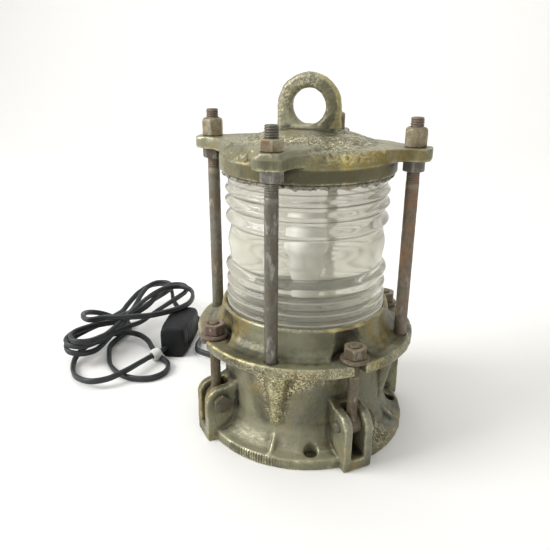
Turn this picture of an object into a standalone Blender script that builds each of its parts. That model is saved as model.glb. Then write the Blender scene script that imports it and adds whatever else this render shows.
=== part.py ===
"""Ship lantern: a cast brass deck light with a ribbed glass between a base and a cap on four tie rods.

Units are metres, +Z is up, and the origin is the centre of the base flange's underside.
The tie rods stand on the X and Y axes, and the swing bolts halfway between them.
"""

import math

import bmesh
import bpy
from mathutils import Matrix, Vector

MM = 0.001
GAP = 0.3 * MM
TURN_STEPS = 44

# Heights, from the floor up.
RIM_TOP = 10.5 * MM
PIN_HEIGHT = 42.5 * MM
BODY_TOP = 95.6 * MM
FLANGE_BOTTOM = 98.2 * MM
FLANGE_TOP = 109.1 * MM
LENS_SEAT = 118.5 * MM
COLLAR_TOP = 135.0 * MM
LENS_BOTTOM = 121.6 * MM
LENS_TOP = 268.0 * MM
SKIRT_BOTTOM = 267.0 * MM
LUG_HEIGHTS = {
    "right": (280.8 * MM, 292.0 * MM), "back": (280.8 * MM, 292.0 * MM),
    "left": (280.8 * MM, 292.0 * MM), "front": (282.8 * MM, 297.0 * MM),
}
EYE_HEIGHT = 323.4 * MM

# Radii about the lantern's axis.
BASE_RADIUS = 106.0 * MM
BODY_RADIUS = 82.5 * MM
BORE_RADIUS = 74.0 * MM
FLANGE_RADIUS = 110.0 * MM
BOLT_CIRCLE = 98.9 * MM
COLLAR_BORE = 80.3 * MM
LENS_BORE = 70.0 * MM
SKIRT_RADIUS = 84.0 * MM

# Fasteners.
ROD_RADIUS = 6.0 * MM
ROD_TOP = 317.5 * MM
ROD_NUT_CORNERS = 21.9 * MM
ROD_NUT_BORE = ROD_RADIUS + 0.5 * MM
TALL_NUT_HEIGHT = 17.0 * MM
PLAIN_NUT_HEIGHT = 9.6 * MM
LOWER_NUT_HEIGHT = 9.8 * MM
SWING_RADIUS = 5.0 * MM
SWING_NUT_CORNERS = 23.0 * MM
SWING_NUT_HEIGHT = 10.0 * MM
SWING_EYE_RADIUS = 9.6 * MM
WASHER_RADIUS = 13.6 * MM
WASHER_THICK = 3.0 * MM
WASHER_SLACK = 0.9 * MM
SCALLOP_DEPTH = 16.3 * MM
SCALLOP_STRETCH = 1.42
WASHER_BOTTOM = FLANGE_TOP + WASHER_SLACK
NUT_BOTTOM = WASHER_BOTTOM + WASHER_THICK + GAP
SWING_TOP = NUT_BOTTOM + SWING_NUT_HEIGHT + 1.5 * MM
PIN_RADIUS = 5.0 * MM
EAR_GAP = 6.6 * MM
EAR_THICK = 8.5 * MM
EAR_RADIUS = 15.4 * MM
PIN_HEAD = 6.4 * MM

# The hanging eye.
EYE_OUTER = 29.8 * MM
EYE_HOLE = 16.4 * MM
EYE_THICK = 14.0 * MM

# The lampholder's bracket, its bosses and screws, and the bulb.
BOSS_TOP = 83.6 * MM
BOSS_INNER = 60.0 * MM
BRACKET_THICK = 2.5 * MM
HOLDER_BOTTOM = BOSS_TOP + 2 * GAP + BRACKET_THICK
SCREW_PLACE = 67.0 * MM
SCREW_RADIUS = 2.5 * MM
BULB_RADIUS = 22.5 * MM
BULB_CENTRE = 185.5 * MM
BULB_CAP_TOP = 143.0 * MM

# The holes through the base flange.
MOUNTING_RADIUS = 6.5 * MM
MOUNTING_CIRCLE = 94.0 * MM

# The cord, its gland and its plug.
CORD_RADIUS = 2.8 * MM
FLOOR_CORD = 3.2 * MM
GLAND_ANGLE = 157.5
GLAND_HEIGHT = 40.0 * MM
GLAND_MOUTH = 104.0 * MM
PLUG_CENTRE = Vector((-200.0, 88.0, 0.0)) * MM
PLUG_SIZE = Vector((36.0, 72.0, 40.0)) * MM
PLUG_TURN = math.radians(14.5)
LEAD_HEIGHT = 11.0 * MM
HANK_A = Vector((-300.0, 30.0, 0.0)) * MM
HANK_B = Vector((-275.0, 175.0, 0.0)) * MM
HANK_HALF = 27.0 * MM
HANK_TOP = 30.0 * MM
LOOP_A = Vector((-263.0, -10.0, 0.0)) * MM
LOOP_B = Vector((-215.0, 0.0, 0.0)) * MM
LOOP_HALF = 26.4 * MM
LOOP_TOP = 12.0 * MM
COIL_BOTTOM = 0.4 * MM

ROD_SITES = {"right": 0, "back": 90, "left": 180, "front": 270}
SWING_SITES = {"back_right": 45, "back_left": 135, "front_left": 225, "front_right": 315}


def clear_scene():
    for item in list(bpy.data.objects):
        bpy.data.objects.remove(item, do_unlink=True)


def collection(name):
    made = bpy.data.collections.new(name)
    bpy.context.scene.collection.children.link(made)
    return made


def material(name, colour, roughness, metallic=0.0, alpha=1.0):
    made = bpy.data.materials.new(name)
    made.use_nodes = True
    shader = made.node_tree.nodes["Principled BSDF"]
    shader.inputs["Base Color"].default_value = (*colour, 1.0)
    shader.inputs["Roughness"].default_value = roughness
    shader.inputs["Metallic"].default_value = metallic
    shader.inputs["Alpha"].default_value = alpha
    return made


clear_scene()
PARTS = collection("ship_lantern")
CUTTERS = collection("cutters")

CAST_BRASS = material("cast_brass", (0.20, 0.18, 0.10), 0.55, 0.8)
RUSTY_STEEL = material("rusty_steel", (0.20, 0.14, 0.10), 0.7, 0.6)
ZINC_STEEL = material("zinc_steel", (0.35, 0.35, 0.36), 0.5, 0.8)
LENS_GLASS = material("lens_glass", (0.85, 0.88, 0.87), 0.05, 0.0, 0.35)
PEARL_GLASS = material("pearl_glass", (0.92, 0.92, 0.90), 0.4)
GASKET_RUBBER = material("gasket_rubber", (0.05, 0.05, 0.045), 0.85)
HOLDER_PLASTIC = material("holder_plastic", (0.03, 0.03, 0.03), 0.4)
BRIGHT_BRASS = material("bright_brass", (0.55, 0.42, 0.18), 0.35, 1.0)
CORD_PVC = material("cord_pvc", (0.02, 0.02, 0.022), 0.45)
TIE_PLASTIC = material("tie_plastic", (0.75, 0.75, 0.72), 0.5)
BLUE_LEAD = material("blue_lead", (0.05, 0.15, 0.45), 0.5)
BROWN_LEAD = material("brown_lead", (0.22, 0.09, 0.04), 0.5)


def add(name, mesh, look, smooth=35):
    """A named part in the parts' collection."""
    item = bpy.data.objects.new(name, mesh)
    item.data.materials.append(look)
    PARTS.objects.link(item)
    mesh.shade_smooth()
    mesh.set_sharp_from_angle(angle=math.radians(smooth))
    return item


def tool(name, mesh):
    """A cutter or a piece to be joined, kept out of the build."""
    item = bpy.data.objects.new(name, mesh)
    CUTTERS.objects.link(item)
    item.hide_render = True
    item.display_type = "WIRE"
    return item


def combine(target, other, operation):
    step = target.modifiers.new(other.name, "BOOLEAN")
    step.object = other
    step.operation = operation


def cut(target, other):
    combine(target, other, "DIFFERENCE")


def join(target, other):
    combine(target, other, "UNION")


def mesh_from(name, build):
    """A mesh filled in by a function that takes a bmesh."""
    shape = bmesh.new()
    build(shape)
    bmesh.ops.recalc_face_normals(shape, faces=shape.faces)
    mesh = bpy.data.meshes.new(name)
    shape.to_mesh(mesh)
    shape.free()
    return mesh


def rod_mesh(name, radius, low, high, steps=20, top_radius=None, centre=(0, 0)):
    """An upright cylinder or cone between two heights."""
    top = radius if top_radius is None else top_radius

    def build(shape):
        place = Matrix.Translation((centre[0], centre[1], (low + high) / 2))
        bmesh.ops.create_cone(
            shape, cap_ends=True, segments=steps, radius1=radius, radius2=top,
            depth=high - low, matrix=place,
        )

    return mesh_from(name, build)


def box_mesh(name, low, high):
    low, high = Vector(low), Vector(high)

    def build(shape):
        place = Matrix.Translation((low + high) / 2) @ Matrix.Diagonal((*(high - low), 1))
        bmesh.ops.create_cube(shape, size=1, matrix=place)

    return mesh_from(name, build)


def turned_mesh(name, profile, steps=TURN_STEPS):
    """A closed (radius, height) loop turned about Z; points on the axis are shared."""

    def build(shape):
        points = [shape.verts.new((r, 0, z)) for r, z in profile]
        edges = [shape.edges.new(pair) for pair in zip(points, points[1:])]
        if profile[0][0] > 0:
            edges.append(shape.edges.new((points[-1], points[0])))
        bmesh.ops.spin(
            shape, geom=points + edges, cent=(0, 0, 0), axis=(0, 0, 1),
            angle=math.tau, steps=steps, use_merge=True,
        )
        bmesh.ops.remove_doubles(shape, verts=shape.verts, dist=1e-6)

    return mesh_from(name, build)


def plate_mesh(name, outline, thickness, hole=(), rounding=0.0):
    """A flat outline in X and Y, extruded from 0 up to its thickness, by a filled 2D curve."""
    curve = bpy.data.curves.new(name, "CURVE")
    curve.dimensions = "2D"
    curve.fill_mode = "BOTH"
    curve.extrude = thickness / 2 - rounding
    curve.bevel_depth = rounding
    curve.bevel_resolution = 1
    curve.offset = -rounding
    for edge in (outline, hole) if hole else (outline,):
        line = curve.splines.new("POLY")
        line.points.add(len(edge) - 1)
        for point, (x, y) in zip(line.points, edge):
            point.co = (x, y, 0, 1)
        line.use_cyclic_u = True
    mesh = solid_from_curve(name, curve)
    mesh.transform(Matrix.Translation((0, 0, thickness / 2)))
    return mesh


def solid_from_curve(name, curve):
    """The evaluated mesh of a curve, with its caps welded on."""
    guide = bpy.data.objects.new(name + "_guide", curve)
    CUTTERS.objects.link(guide)
    bpy.context.view_layer.update()
    seen = guide.evaluated_get(bpy.context.evaluated_depsgraph_get())
    mesh = bpy.data.meshes.new_from_object(seen)
    mesh.name = name
    bpy.data.objects.remove(guide, do_unlink=True)
    shape = bmesh.new()
    shape.from_mesh(mesh)
    bmesh.ops.remove_doubles(shape, verts=shape.verts, dist=1e-6)
    bmesh.ops.recalc_face_normals(shape, faces=shape.faces)
    shape.to_mesh(mesh)
    shape.free()
    return mesh


def arc(centre, radius, start, end, steps):
    """Points along an arc, angles in degrees, both ends included."""
    out = []
    for k in range(steps + 1):
        a = math.radians(start + (end - start) * k / steps)
        out.append((centre[0] + radius * math.cos(a), centre[1] + radius * math.sin(a)))
    return out


def smooth_route(points, spacing):
    """A Catmull-Rom curve through the points, resampled at an even spacing."""
    points = [Vector(p) for p in points]
    ends = [2 * points[0] - points[1]] + points + [2 * points[-1] - points[-2]]
    fine = []
    for a, b, c, d in zip(ends, ends[1:], ends[2:], ends[3:]):
        for k in range(20):
            t = k / 20
            fine.append(0.5 * (2 * b + (c - a) * t + (2 * a - 5 * b + 4 * c - d) * t**2
                               + (3 * b - a - 3 * c + d) * t**3))
    fine.append(points[-1])
    total = sum((q - p).length for p, q in zip(fine, fine[1:]))
    count = max(2, round(total / spacing))
    out, walked, target = [fine[0]], 0.0, total / count
    for p, q in zip(fine, fine[1:]):
        step = (q - p).length
        while walked + step >= target * len(out) and len(out) < count:
            out.append(p.lerp(q, (target * len(out) - walked) / step))
        walked += step
    return out + [fine[-1]]


def tube_mesh(name, points, radius, spacing):
    curve = bpy.data.curves.new(name, "CURVE")
    curve.dimensions = "3D"
    curve.bevel_depth = radius
    curve.bevel_resolution = 2
    curve.use_fill_caps = True
    route = smooth_route(points, spacing)
    line = curve.splines.new("POLY")
    line.points.add(len(route) - 1)
    for point, place in zip(line.points, route):
        point.co = (*place, 1)
    return solid_from_curve(name, curve)


def hex_nut_mesh(name, across_corners, height, bore, chamfer, dome=0.0, steps=12):
    """A hexagon with its corners turned off at both ends, and a round bore."""
    corner = across_corners / 2
    flat = corner * math.cos(math.pi / 6)
    body = tool(name + "_hex", rod_mesh(name + "_hex", corner, 0, height, steps=6))
    drop = chamfer + dome
    turned = [
        (0, -GAP), (flat, -GAP), (flat, 0), (corner, chamfer), (corner, height - drop),
        (flat - dome * 0.35, height), (0, height),
    ]
    envelope = tool(name + "_turned", turned_mesh(name + "_turned", turned, steps))
    hole = tool(name + "_hole", rod_mesh(name + "_hole", bore, -0.01, height + 0.01, steps=steps))
    combine(body, envelope, "INTERSECT")
    cut(body, hole)
    bpy.context.view_layer.update()
    seen = body.evaluated_get(bpy.context.evaluated_depsgraph_get())
    return bpy.data.meshes.new_from_object(seen)


def around(degrees, radius=BOLT_CIRCLE, height=0.0):
    """The placement at an azimuth: X points outwards, Y along the circle."""
    turn = Matrix.Rotation(math.radians(degrees), 4, "Z")
    return turn @ Matrix.Translation((radius, 0, height))


def ear_outline():
    """An ear's (radius, height) outline: round about the pin, down to the floor, in to the body."""
    inside = BODY_RADIUS - 4 * MM
    centre = (BOLT_CIRCLE, PIN_HEIGHT)
    return [(inside, 0)] + [(BOLT_CIRCLE + EAR_RADIUS, 0)] + arc(centre, EAR_RADIUS, 0, 90, 8) + [
        (BOLT_CIRCLE - 8 * MM, PIN_HEIGHT + EAR_RADIUS + 0.5 * MM),
        (inside, PIN_HEIGHT + EAR_RADIUS + 7 * MM),
    ]


def upright(mesh, along=0.0):
    """Turns a plate's X, Y outline into X, Z, centred on its thickness at Y = along."""
    mesh.transform(Matrix.Rotation(math.pi / 2, 4, "X"))
    mesh.transform(Matrix.Translation((0, along, 0)))
    return mesh


def base_body():
    wall = BODY_RADIUS
    profile = [
        (BORE_RADIUS, BODY_TOP), (wall, BODY_TOP), (wall + 0.5 * MM, 60 * MM),
        (wall + 1.5 * MM, 36 * MM), (wall + 4 * MM, 24 * MM), (wall + 8.5 * MM, 16.5 * MM),
        (wall + 15 * MM, 12.3 * MM), (BASE_RADIUS - 1.2 * MM, RIM_TOP),
        (BASE_RADIUS, RIM_TOP - 1.2 * MM), (BASE_RADIUS, 0), (BORE_RADIUS, 0),
    ]
    body = add("base_body", turned_mesh("base_body", profile), CAST_BRASS)
    for name, angle in SWING_SITES.items():
        join(body, ear_pair(name, angle))
    core = tool("wall_core", rod_mesh("wall_core", BORE_RADIUS + 3 * MM, -0.01, 0.11, TURN_STEPS))
    for name, angle in ROD_SITES.items():
        support = corbel(name, angle)
        cut(support, core)
        join(body, support)
        join(body, foot_rib(name, angle))
    for name, angle in (("boss_right", 0), ("boss_left", 180)):
        join(body, bracket_boss(name, angle))
    for name, angle in SWING_SITES.items():
        cut(body, ear_slot(name, angle))
        cut(body, ear_pin_hole(name, angle))
        cut(body, mounting_hole(name, angle - 22.5))
    for name, angle in (("screw_right", 0), ("screw_left", 180)):
        cut(body, bracket_screw_hole(name, angle))
    cut(body, gland_hole())


def ear_pair(name, angle):
    wide = 2 * (EAR_GAP + EAR_THICK)
    mesh = upright(plate_mesh(name + "_ears", ear_outline(), wide), wide / 2)
    mesh.transform(around(angle, 0))
    return tool(name + "_ears", mesh)


def ear_slot(name, angle):
    inner = BOLT_CIRCLE - 11 * MM
    floor = PIN_HEIGHT - 31 * MM
    outline = arc((inner + 6 * MM, floor + 6 * MM), 6 * MM, 270, 180, 5)
    outline += [(inner, BODY_TOP + 0.01), (BOLT_CIRCLE + 0.04, BODY_TOP + 0.01)]
    outline += [(BOLT_CIRCLE + 0.04, floor)]
    mesh = upright(plate_mesh(name + "_slot", outline, 2 * EAR_GAP), EAR_GAP)
    mesh.transform(around(angle, 0))
    return tool(name + "_slot", mesh)


def ear_pin_hole(name, angle):
    mesh = rod_mesh(name + "_pin_hole", PIN_RADIUS + GAP, -0.04, 0.04)
    mesh.transform(around(angle, BOLT_CIRCLE, PIN_HEIGHT) @ Matrix.Rotation(math.pi / 2, 4, "X"))
    return tool(name + "_pin_hole", mesh)


def mounting_hole(name, angle):
    mesh = rod_mesh(name + "_mounting", MOUNTING_RADIUS, -0.01, 0.03)
    mesh.transform(around(angle, MOUNTING_CIRCLE))
    return tool(name + "_mounting", mesh)


def corbel(name, angle):
    """The pilaster under a tie rod: a leaning half cone, wide under the flange."""
    top, foot = 14 * MM, 5 * MM
    low, high = 30 * MM, BODY_TOP

    def build(shape):
        place = Matrix.Translation((0, 0, (low + high) / 2))
        bmesh.ops.create_cone(
            shape, cap_ends=True, segments=20, radius1=foot, radius2=top,
            depth=high - low, matrix=place,
        )
        for corner in shape.verts:
            share = (corner.co.z - low) / (high - low)
            corner.co.x += BODY_RADIUS - 3 * MM + 4.5 * MM * share

    mesh = mesh_from(name + "_corbel", build)
    mesh.transform(around(angle, 0))
    return tool(name + "_corbel", mesh)


def foot_rib(name, angle):
    outer = BASE_RADIUS - 2.5 * MM
    outline = [
        (BODY_RADIUS - 2 * MM, 2 * MM), (outer, 2 * MM), (outer, RIM_TOP + 0.4 * MM),
        (BODY_RADIUS + 2 * MM, 27 * MM), (BODY_RADIUS - 2 * MM, 27 * MM),
    ]
    mesh = upright(plate_mesh(name + "_rib", outline, 3.6 * MM), 1.8 * MM)
    mesh.transform(around(angle, 0))
    return tool(name + "_rib", mesh)


def bracket_boss(name, angle):
    low = (BOSS_INNER, -8 * MM, 66 * MM)
    high = (BORE_RADIUS + 2.5 * MM, 8 * MM, BOSS_TOP)
    mesh = box_mesh(name, low, high)
    mesh.transform(around(angle, 0))
    return tool(name, mesh)


def bracket_screw_hole(name, angle):
    hole = SCREW_RADIUS + GAP
    mesh = rod_mesh(name + "_hole", hole, BOSS_TOP - 13 * MM, BOSS_TOP + 0.01, 16)
    mesh.transform(around(angle, SCREW_PLACE))
    return tool(name + "_hole", mesh)


def gland_axis():
    """The gland's placement: Z points out along the cord."""
    turn = Matrix.Rotation(math.pi / 2, 4, "Y")
    return around(GLAND_ANGLE, 0, GLAND_HEIGHT) @ turn


def gland_hole():
    mesh = rod_mesh("gland_hole", 9.8 * MM, 60 * MM, 0.12)
    mesh.transform(gland_axis())
    return tool("gland_hole", mesh)


def body_gasket():
    low, high = BODY_TOP + GAP / 2, FLANGE_BOTTOM - GAP / 2
    profile = [(BORE_RADIUS - 2 * MM, high), (BODY_RADIUS - 1 * MM, high),
               (BODY_RADIUS - 1 * MM, low), (BORE_RADIUS - 2 * MM, low)]
    add("body_gasket", turned_mesh("body_gasket", profile), GASKET_RUBBER)


def upper_flange():
    bevel = 1.5 * MM
    profile = [
        (COLLAR_BORE, COLLAR_TOP), (COLLAR_BORE + 2.6 * MM, COLLAR_TOP),
        (COLLAR_BORE + 3.4 * MM, COLLAR_TOP - 1 * MM), (85 * MM, 126 * MM), (88 * MM, 117 * MM),
        (92 * MM, 112 * MM), (98 * MM, FLANGE_TOP), (FLANGE_RADIUS - bevel, FLANGE_TOP),
        (FLANGE_RADIUS, FLANGE_TOP - bevel),
        (FLANGE_RADIUS, FLANGE_BOTTOM + bevel), (FLANGE_RADIUS - bevel, FLANGE_BOTTOM),
        (68 * MM, FLANGE_BOTTOM), (68 * MM, LENS_SEAT), (COLLAR_BORE, LENS_SEAT),
    ]
    flange = add("upper_flange", turned_mesh("upper_flange", profile, 52), CAST_BRASS)
    for name, angle in ROD_SITES.items():
        hole = rod_mesh(name + "_rod_hole", ROD_RADIUS + GAP, 0.09, 0.14)
        hole.transform(around(angle))
        cut(flange, tool(name + "_rod_hole", hole))
    for name, angle in SWING_SITES.items():
        cut(flange, flange_slot(name, angle))
        cut(flange, nut_scallop(name, angle))


def flange_slot(name, angle):
    half = SWING_RADIUS + 1.1 * MM
    outline = arc((0, 0), half, 90, 270, 10) + [(0.03, -half), (0.03, half)]
    mesh = plate_mesh(name + "_flange_slot", outline, 0.05)
    mesh.transform(around(angle, BOLT_CIRCLE - 0.4 * MM, 0.08))
    return tool(name + "_flange_slot", mesh)


def nut_scallop(name, angle):
    """A pocket for the nut and a spanner, oval in plan, cut into the collar up to its lip."""
    low = FLANGE_TOP + 0.02 * MM
    mesh = rod_mesh(name + "_scallop", SCALLOP_DEPTH, low, COLLAR_TOP - 3 * MM, 28)
    mesh.transform(around(angle) @ Matrix.Diagonal((1, SCALLOP_STRETCH, 1, 1)))
    return tool(name + "_scallop", mesh)


def lens_gasket():
    low, high = LENS_SEAT + GAP, LENS_BOTTOM - GAP
    profile = [(71 * MM, high), (79.8 * MM, high), (79.8 * MM, low), (71 * MM, low)]
    add("lens_gasket", turned_mesh("lens_gasket", profile), GASKET_RUBBER)


# Crests and valleys of the lens, from the top down, as (radius, height).
LENS_RIBS = [
    (76.2, 252.0), (79.0, 247.5), (75.5, 241.0), (79.4, 234.7), (75.3, 227.8),
    (79.0, 219.9), (74.3, 211.7), (77.0, 197.0), (75.0, 180.1), (79.6, 172.7), (76.7, 163.6),
    (79.1, 158.3), (77.6, 151.3), (79.3, 146.3), (78.0, 141.0), (79.4, 136.5), (78.2, 132.0),
]


def lens():
    profile = [(LENS_BORE, LENS_TOP), (76.2 * MM, LENS_TOP)]
    profile += [(radius * MM, height * MM) for radius, height in LENS_RIBS]
    profile += [(79.2 * MM, 126 * MM), (79.2 * MM, LENS_BOTTOM), (LENS_BORE, LENS_BOTTOM)]
    add("lens", turned_mesh("lens", profile), LENS_GLASS, smooth=60)


def cap_gasket():
    """Soft packing between the lens and the cap, squeezed out under the skirt."""
    profile = [
        (71 * MM, LENS_TOP + 2.7 * MM), (80.2 * MM, LENS_TOP + 2.7 * MM),
        (80.2 * MM, SKIRT_BOTTOM - GAP), (82 * MM, SKIRT_BOTTOM - GAP), (81.2 * MM, 263 * MM),
        (76.6 * MM, 262 * MM), (76.6 * MM, LENS_TOP + GAP), (71 * MM, LENS_TOP + GAP),
    ]
    add("cap_gasket", turned_mesh("cap_gasket", profile), GASKET_RUBBER)


def lug_outline(reach, flare):
    """Half of a lug from its tip inwards, then its mirror: (radius, offset) points."""
    tip, half, corner = 114 * MM, 14 * MM, 8 * MM
    rounded = arc((tip - corner, half - corner), corner, 0, 90, 5)
    side = rounded + [(100 * MM, half), (92 * MM, half + flare[0])]
    side += [(84 * MM, half + flare[1]), (77 * MM, half + flare[2]), (reach, half + flare[3])]
    return side + [(x, -y) for x, y in reversed(side)]


def lug(name, angle):
    """A lug whose walls stand upright at the tip and spread into the dome further in."""
    bottom, top = LUG_HEIGHTS[name]
    under = lug_outline(73 * MM, [2 * MM, 7 * MM, 17 * MM, 24 * MM])
    over = lug_outline(44 * MM, [0.5 * MM, 1.5 * MM, 4 * MM, 9 * MM])

    def build(shape):
        low = [shape.verts.new((x, y, bottom)) for x, y in under]
        high = [shape.verts.new((x, y, top)) for x, y in over]
        shape.faces.new(low)
        shape.faces.new(high)
        for k in range(len(low)):
            shape.faces.new((low[k - 1], low[k], high[k], high[k - 1]))

    mesh = mesh_from(name + "_lug", build)
    mesh.transform(around(angle, 0))
    return tool(name + "_lug", mesh)


def cap():
    top = 303.5 * MM
    profile = [
        (0, top), (20 * MM, top - 0.8 * MM), (36 * MM, 299.6 * MM), (62 * MM, 292.5 * MM),
        (78 * MM, 287 * MM), (82.5 * MM, 283.5 * MM), (SKIRT_RADIUS, 279 * MM),
        (SKIRT_RADIUS - 0.4 * MM, SKIRT_BOTTOM), (80.5 * MM, SKIRT_BOTTOM),
        (80.5 * MM, 271.2 * MM), (72 * MM, 271.2 * MM), (72 * MM, 279 * MM),
        (55 * MM, 285 * MM), (0, 292 * MM),
    ]
    dome = add("cap", turned_mesh("cap", profile), CAST_BRASS)
    for name, angle in ROD_SITES.items():
        join(dome, lug(name, angle))
    join(dome, hanging_eye())
    for name, angle in ROD_SITES.items():
        bore = rod_mesh(name + "_lug_hole", ROD_RADIUS + 0.5 * MM, 0.27, 0.31)
        bore.transform(around(angle))
        cut(dome, tool(name + "_lug_hole", bore))


def hanging_eye():
    """The eye in X and Z: round over the top, straight sides, a flared foot and a round hole."""
    foot = [(30.2 * MM, 312 * MM), (31.8 * MM, 305 * MM), (38 * MM, 299 * MM), (38 * MM, 294 * MM)]
    outline = list(reversed(foot)) + arc((0, EYE_HEIGHT), EYE_OUTER, 0, 180, 18)
    outline += [(-x, z) for x, z in foot]
    hole = arc((0, EYE_HEIGHT), EYE_HOLE, 0, 350, 27)
    mesh = plate_mesh("hanging_eye", outline, EYE_THICK, hole, 4 * MM)
    return tool("hanging_eye", upright(mesh, EYE_THICK / 2))


def tie_rods():
    wide, bore = ROD_NUT_CORNERS, ROD_NUT_BORE
    tall_mesh = hex_nut_mesh("tall_nut", wide, TALL_NUT_HEIGHT, bore, 1 * MM, 4 * MM)
    plain_mesh = hex_nut_mesh("plain_nut", wide, PLAIN_NUT_HEIGHT, bore, 1 * MM)
    lower_mesh = hex_nut_mesh("lower_nut", wide, LOWER_NUT_HEIGHT, bore, 1.6 * MM)
    for name, angle in ROD_SITES.items():
        lug_bottom, lug_top = LUG_HEIGHTS[name]
        rod = rod_mesh("tie_rod_" + name, ROD_RADIUS, FLANGE_BOTTOM + 0.4 * MM, ROD_TOP, 16)
        rod.transform(around(angle))
        add("tie_rod_" + name, rod, RUSTY_STEEL)
        upper = (plain_mesh if name == "front" else tall_mesh).copy()
        upper.transform(around(angle, BOLT_CIRCLE, lug_top + GAP))
        add("top_nut_" + name, upper, RUSTY_STEEL)
        lower = lower_mesh.copy()
        lower.transform(around(angle, BOLT_CIRCLE, lug_bottom - GAP - LOWER_NUT_HEIGHT))
        add("lower_nut_" + name, lower, ZINC_STEEL)


def swing_bolts():
    bore = SWING_RADIUS + 0.45 * MM
    nut_mesh = hex_nut_mesh("swing_nut", SWING_NUT_CORNERS, SWING_NUT_HEIGHT, bore, 1 * MM)
    nut_mesh.transform(Matrix.Translation((0, 0, NUT_BOTTOM - PIN_HEIGHT)))
    for name, angle in SWING_SITES.items():
        hinge = hinge_empty(name, angle)
        nut = add("swing_nut_" + name, nut_mesh.copy(), RUSTY_STEEL)
        for item in (swing_bolt(name, hinge), washer(name), nut, hinge_pin(name, hinge)):
            item.parent = hinge


def hinge_empty(name, angle):
    """A parent on a swing bolt's hinge axis, turned so that its X points outwards."""
    made = bpy.data.objects.new("hinge_" + name, None)
    PARTS.objects.link(made)
    made.matrix_world = around(angle, BOLT_CIRCLE, PIN_HEIGHT)
    return made


def swing_bolt(site, hinge):
    """An eye round the hinge pin with a threaded shank standing on it."""
    name = "swing_bolt_" + site
    half = EAR_GAP - 0.4 * MM
    eye = rod_mesh(name + "_eye", SWING_EYE_RADIUS, -half, half, 16)
    eye.transform(Matrix.Rotation(math.pi / 2, 4, "X"))
    bolt = add(name, eye, RUSTY_STEEL)
    shank = rod_mesh(name + "_shank", SWING_RADIUS, 7 * MM, SWING_TOP - PIN_HEIGHT, 12)
    bore = rod_mesh(name + "_bore", PIN_RADIUS + GAP, -0.02, 0.02, 16)
    bore.transform(Matrix.Rotation(math.pi / 2, 4, "X"))
    for part, operation in ((shank, "UNION"), (bore, "DIFFERENCE")):
        other = tool(part.name, part)
        other.parent = hinge
        combine(bolt, other, operation)
    return bolt


def washer(site):
    name = "swing_washer_" + site
    low = WASHER_BOTTOM - PIN_HEIGHT
    inner, outer = SWING_RADIUS + GAP, WASHER_RADIUS
    profile = [(inner, low + WASHER_THICK), (outer - 0.5 * MM, low + WASHER_THICK), (outer, low),
               (inner, low)]
    return add(name, turned_mesh(name, profile, 20), RUSTY_STEEL)


def hinge_pin(site, hinge):
    """A bolt with its head on the anticlockwise ear and a chamfered end past the other ear."""
    name = "hinge_pin_" + site
    ear = EAR_GAP + EAR_THICK
    neck = [(0, -ear - 3 * MM), (PIN_RADIUS - 1 * MM, -ear - 3 * MM),
            (PIN_RADIUS, -ear - 2 * MM), (PIN_RADIUS, ear + GAP + 1 * MM), (0, ear + GAP + 1 * MM)]
    pin = add(name, turned_mesh(name, neck, 16), RUSTY_STEEL)
    head = rod_mesh(name + "_head", 9.8 * MM, ear + GAP, ear + GAP + PIN_HEAD, 6,
                    top_radius=9.2 * MM)
    place = Matrix.Rotation(-math.pi / 2, 4, "X")
    pin.data.transform(place)
    head.transform(place)
    other = tool(name + "_head", head)
    other.parent = hinge
    join(pin, other)
    return pin


def lamp_bracket():
    low = BOSS_TOP + GAP
    reach = BORE_RADIUS - 2 * MM
    strip = box_mesh("lamp_bracket", (-reach, -9 * MM, low), (reach, 9 * MM, low + BRACKET_THICK))
    bracket = add("lamp_bracket", strip, BRIGHT_BRASS)
    for name, x, r in (("left", -SCREW_PLACE, 2.8 * MM), ("right", SCREW_PLACE, 2.8 * MM),
                       ("middle", 0, 5.3 * MM)):
        mesh = rod_mesh("bracket_hole_" + name, r, 0.07, 0.1, 20, centre=(x, 0))
        cut(bracket, tool("bracket_hole_" + name, mesh))
    top = low + BRACKET_THICK + GAP
    for name, x in (("left", -SCREW_PLACE), ("right", SCREW_PLACE)):
        shank = [(0, top + 3 * MM), (2.6 * MM, top + 2.6 * MM), (4.4 * MM, top + 1 * MM),
                 (4.4 * MM, top), (SCREW_RADIUS, top), (SCREW_RADIUS, top - 15 * MM),
                 (0, top - 15 * MM)]
        mesh = turned_mesh("bracket_screw_" + name, shank, 12)
        mesh.transform(Matrix.Translation((x, 0, 0)))
        add("bracket_screw_" + name, mesh, BRIGHT_BRASS)


def lampholder():
    low = HOLDER_BOTTOM
    stub = 10 * MM + BRACKET_THICK
    profile = [
        (0, 112 * MM), (14 * MM, 112 * MM), (14 * MM, 141 * MM), (17 * MM, 141 * MM),
        (17 * MM, 120 * MM), (20 * MM, 118 * MM), (20 * MM, low + 3 * MM), (17 * MM, low),
        (5 * MM, low), (5 * MM, low - stub), (0, low - stub),
    ]
    add("lampholder", turned_mesh("lampholder", profile, 20), HOLDER_PLASTIC)
    ring = [(17.3 * MM, 134 * MM), (21 * MM, 134 * MM), (22 * MM, 133 * MM), (22 * MM, 123 * MM),
            (17.3 * MM, 123 * MM)]
    add("lampholder_ring", turned_mesh("lampholder_ring", ring, 20), HOLDER_PLASTIC)
    nut = hex_nut_mesh("lampholder_nut", 16 * MM, 5 * MM, 5.4 * MM, 0.6 * MM)
    nut.transform(Matrix.Translation((0, 0, BOSS_TOP - 5 * MM)))
    add("lampholder_nut", nut, BRIGHT_BRASS)


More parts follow.
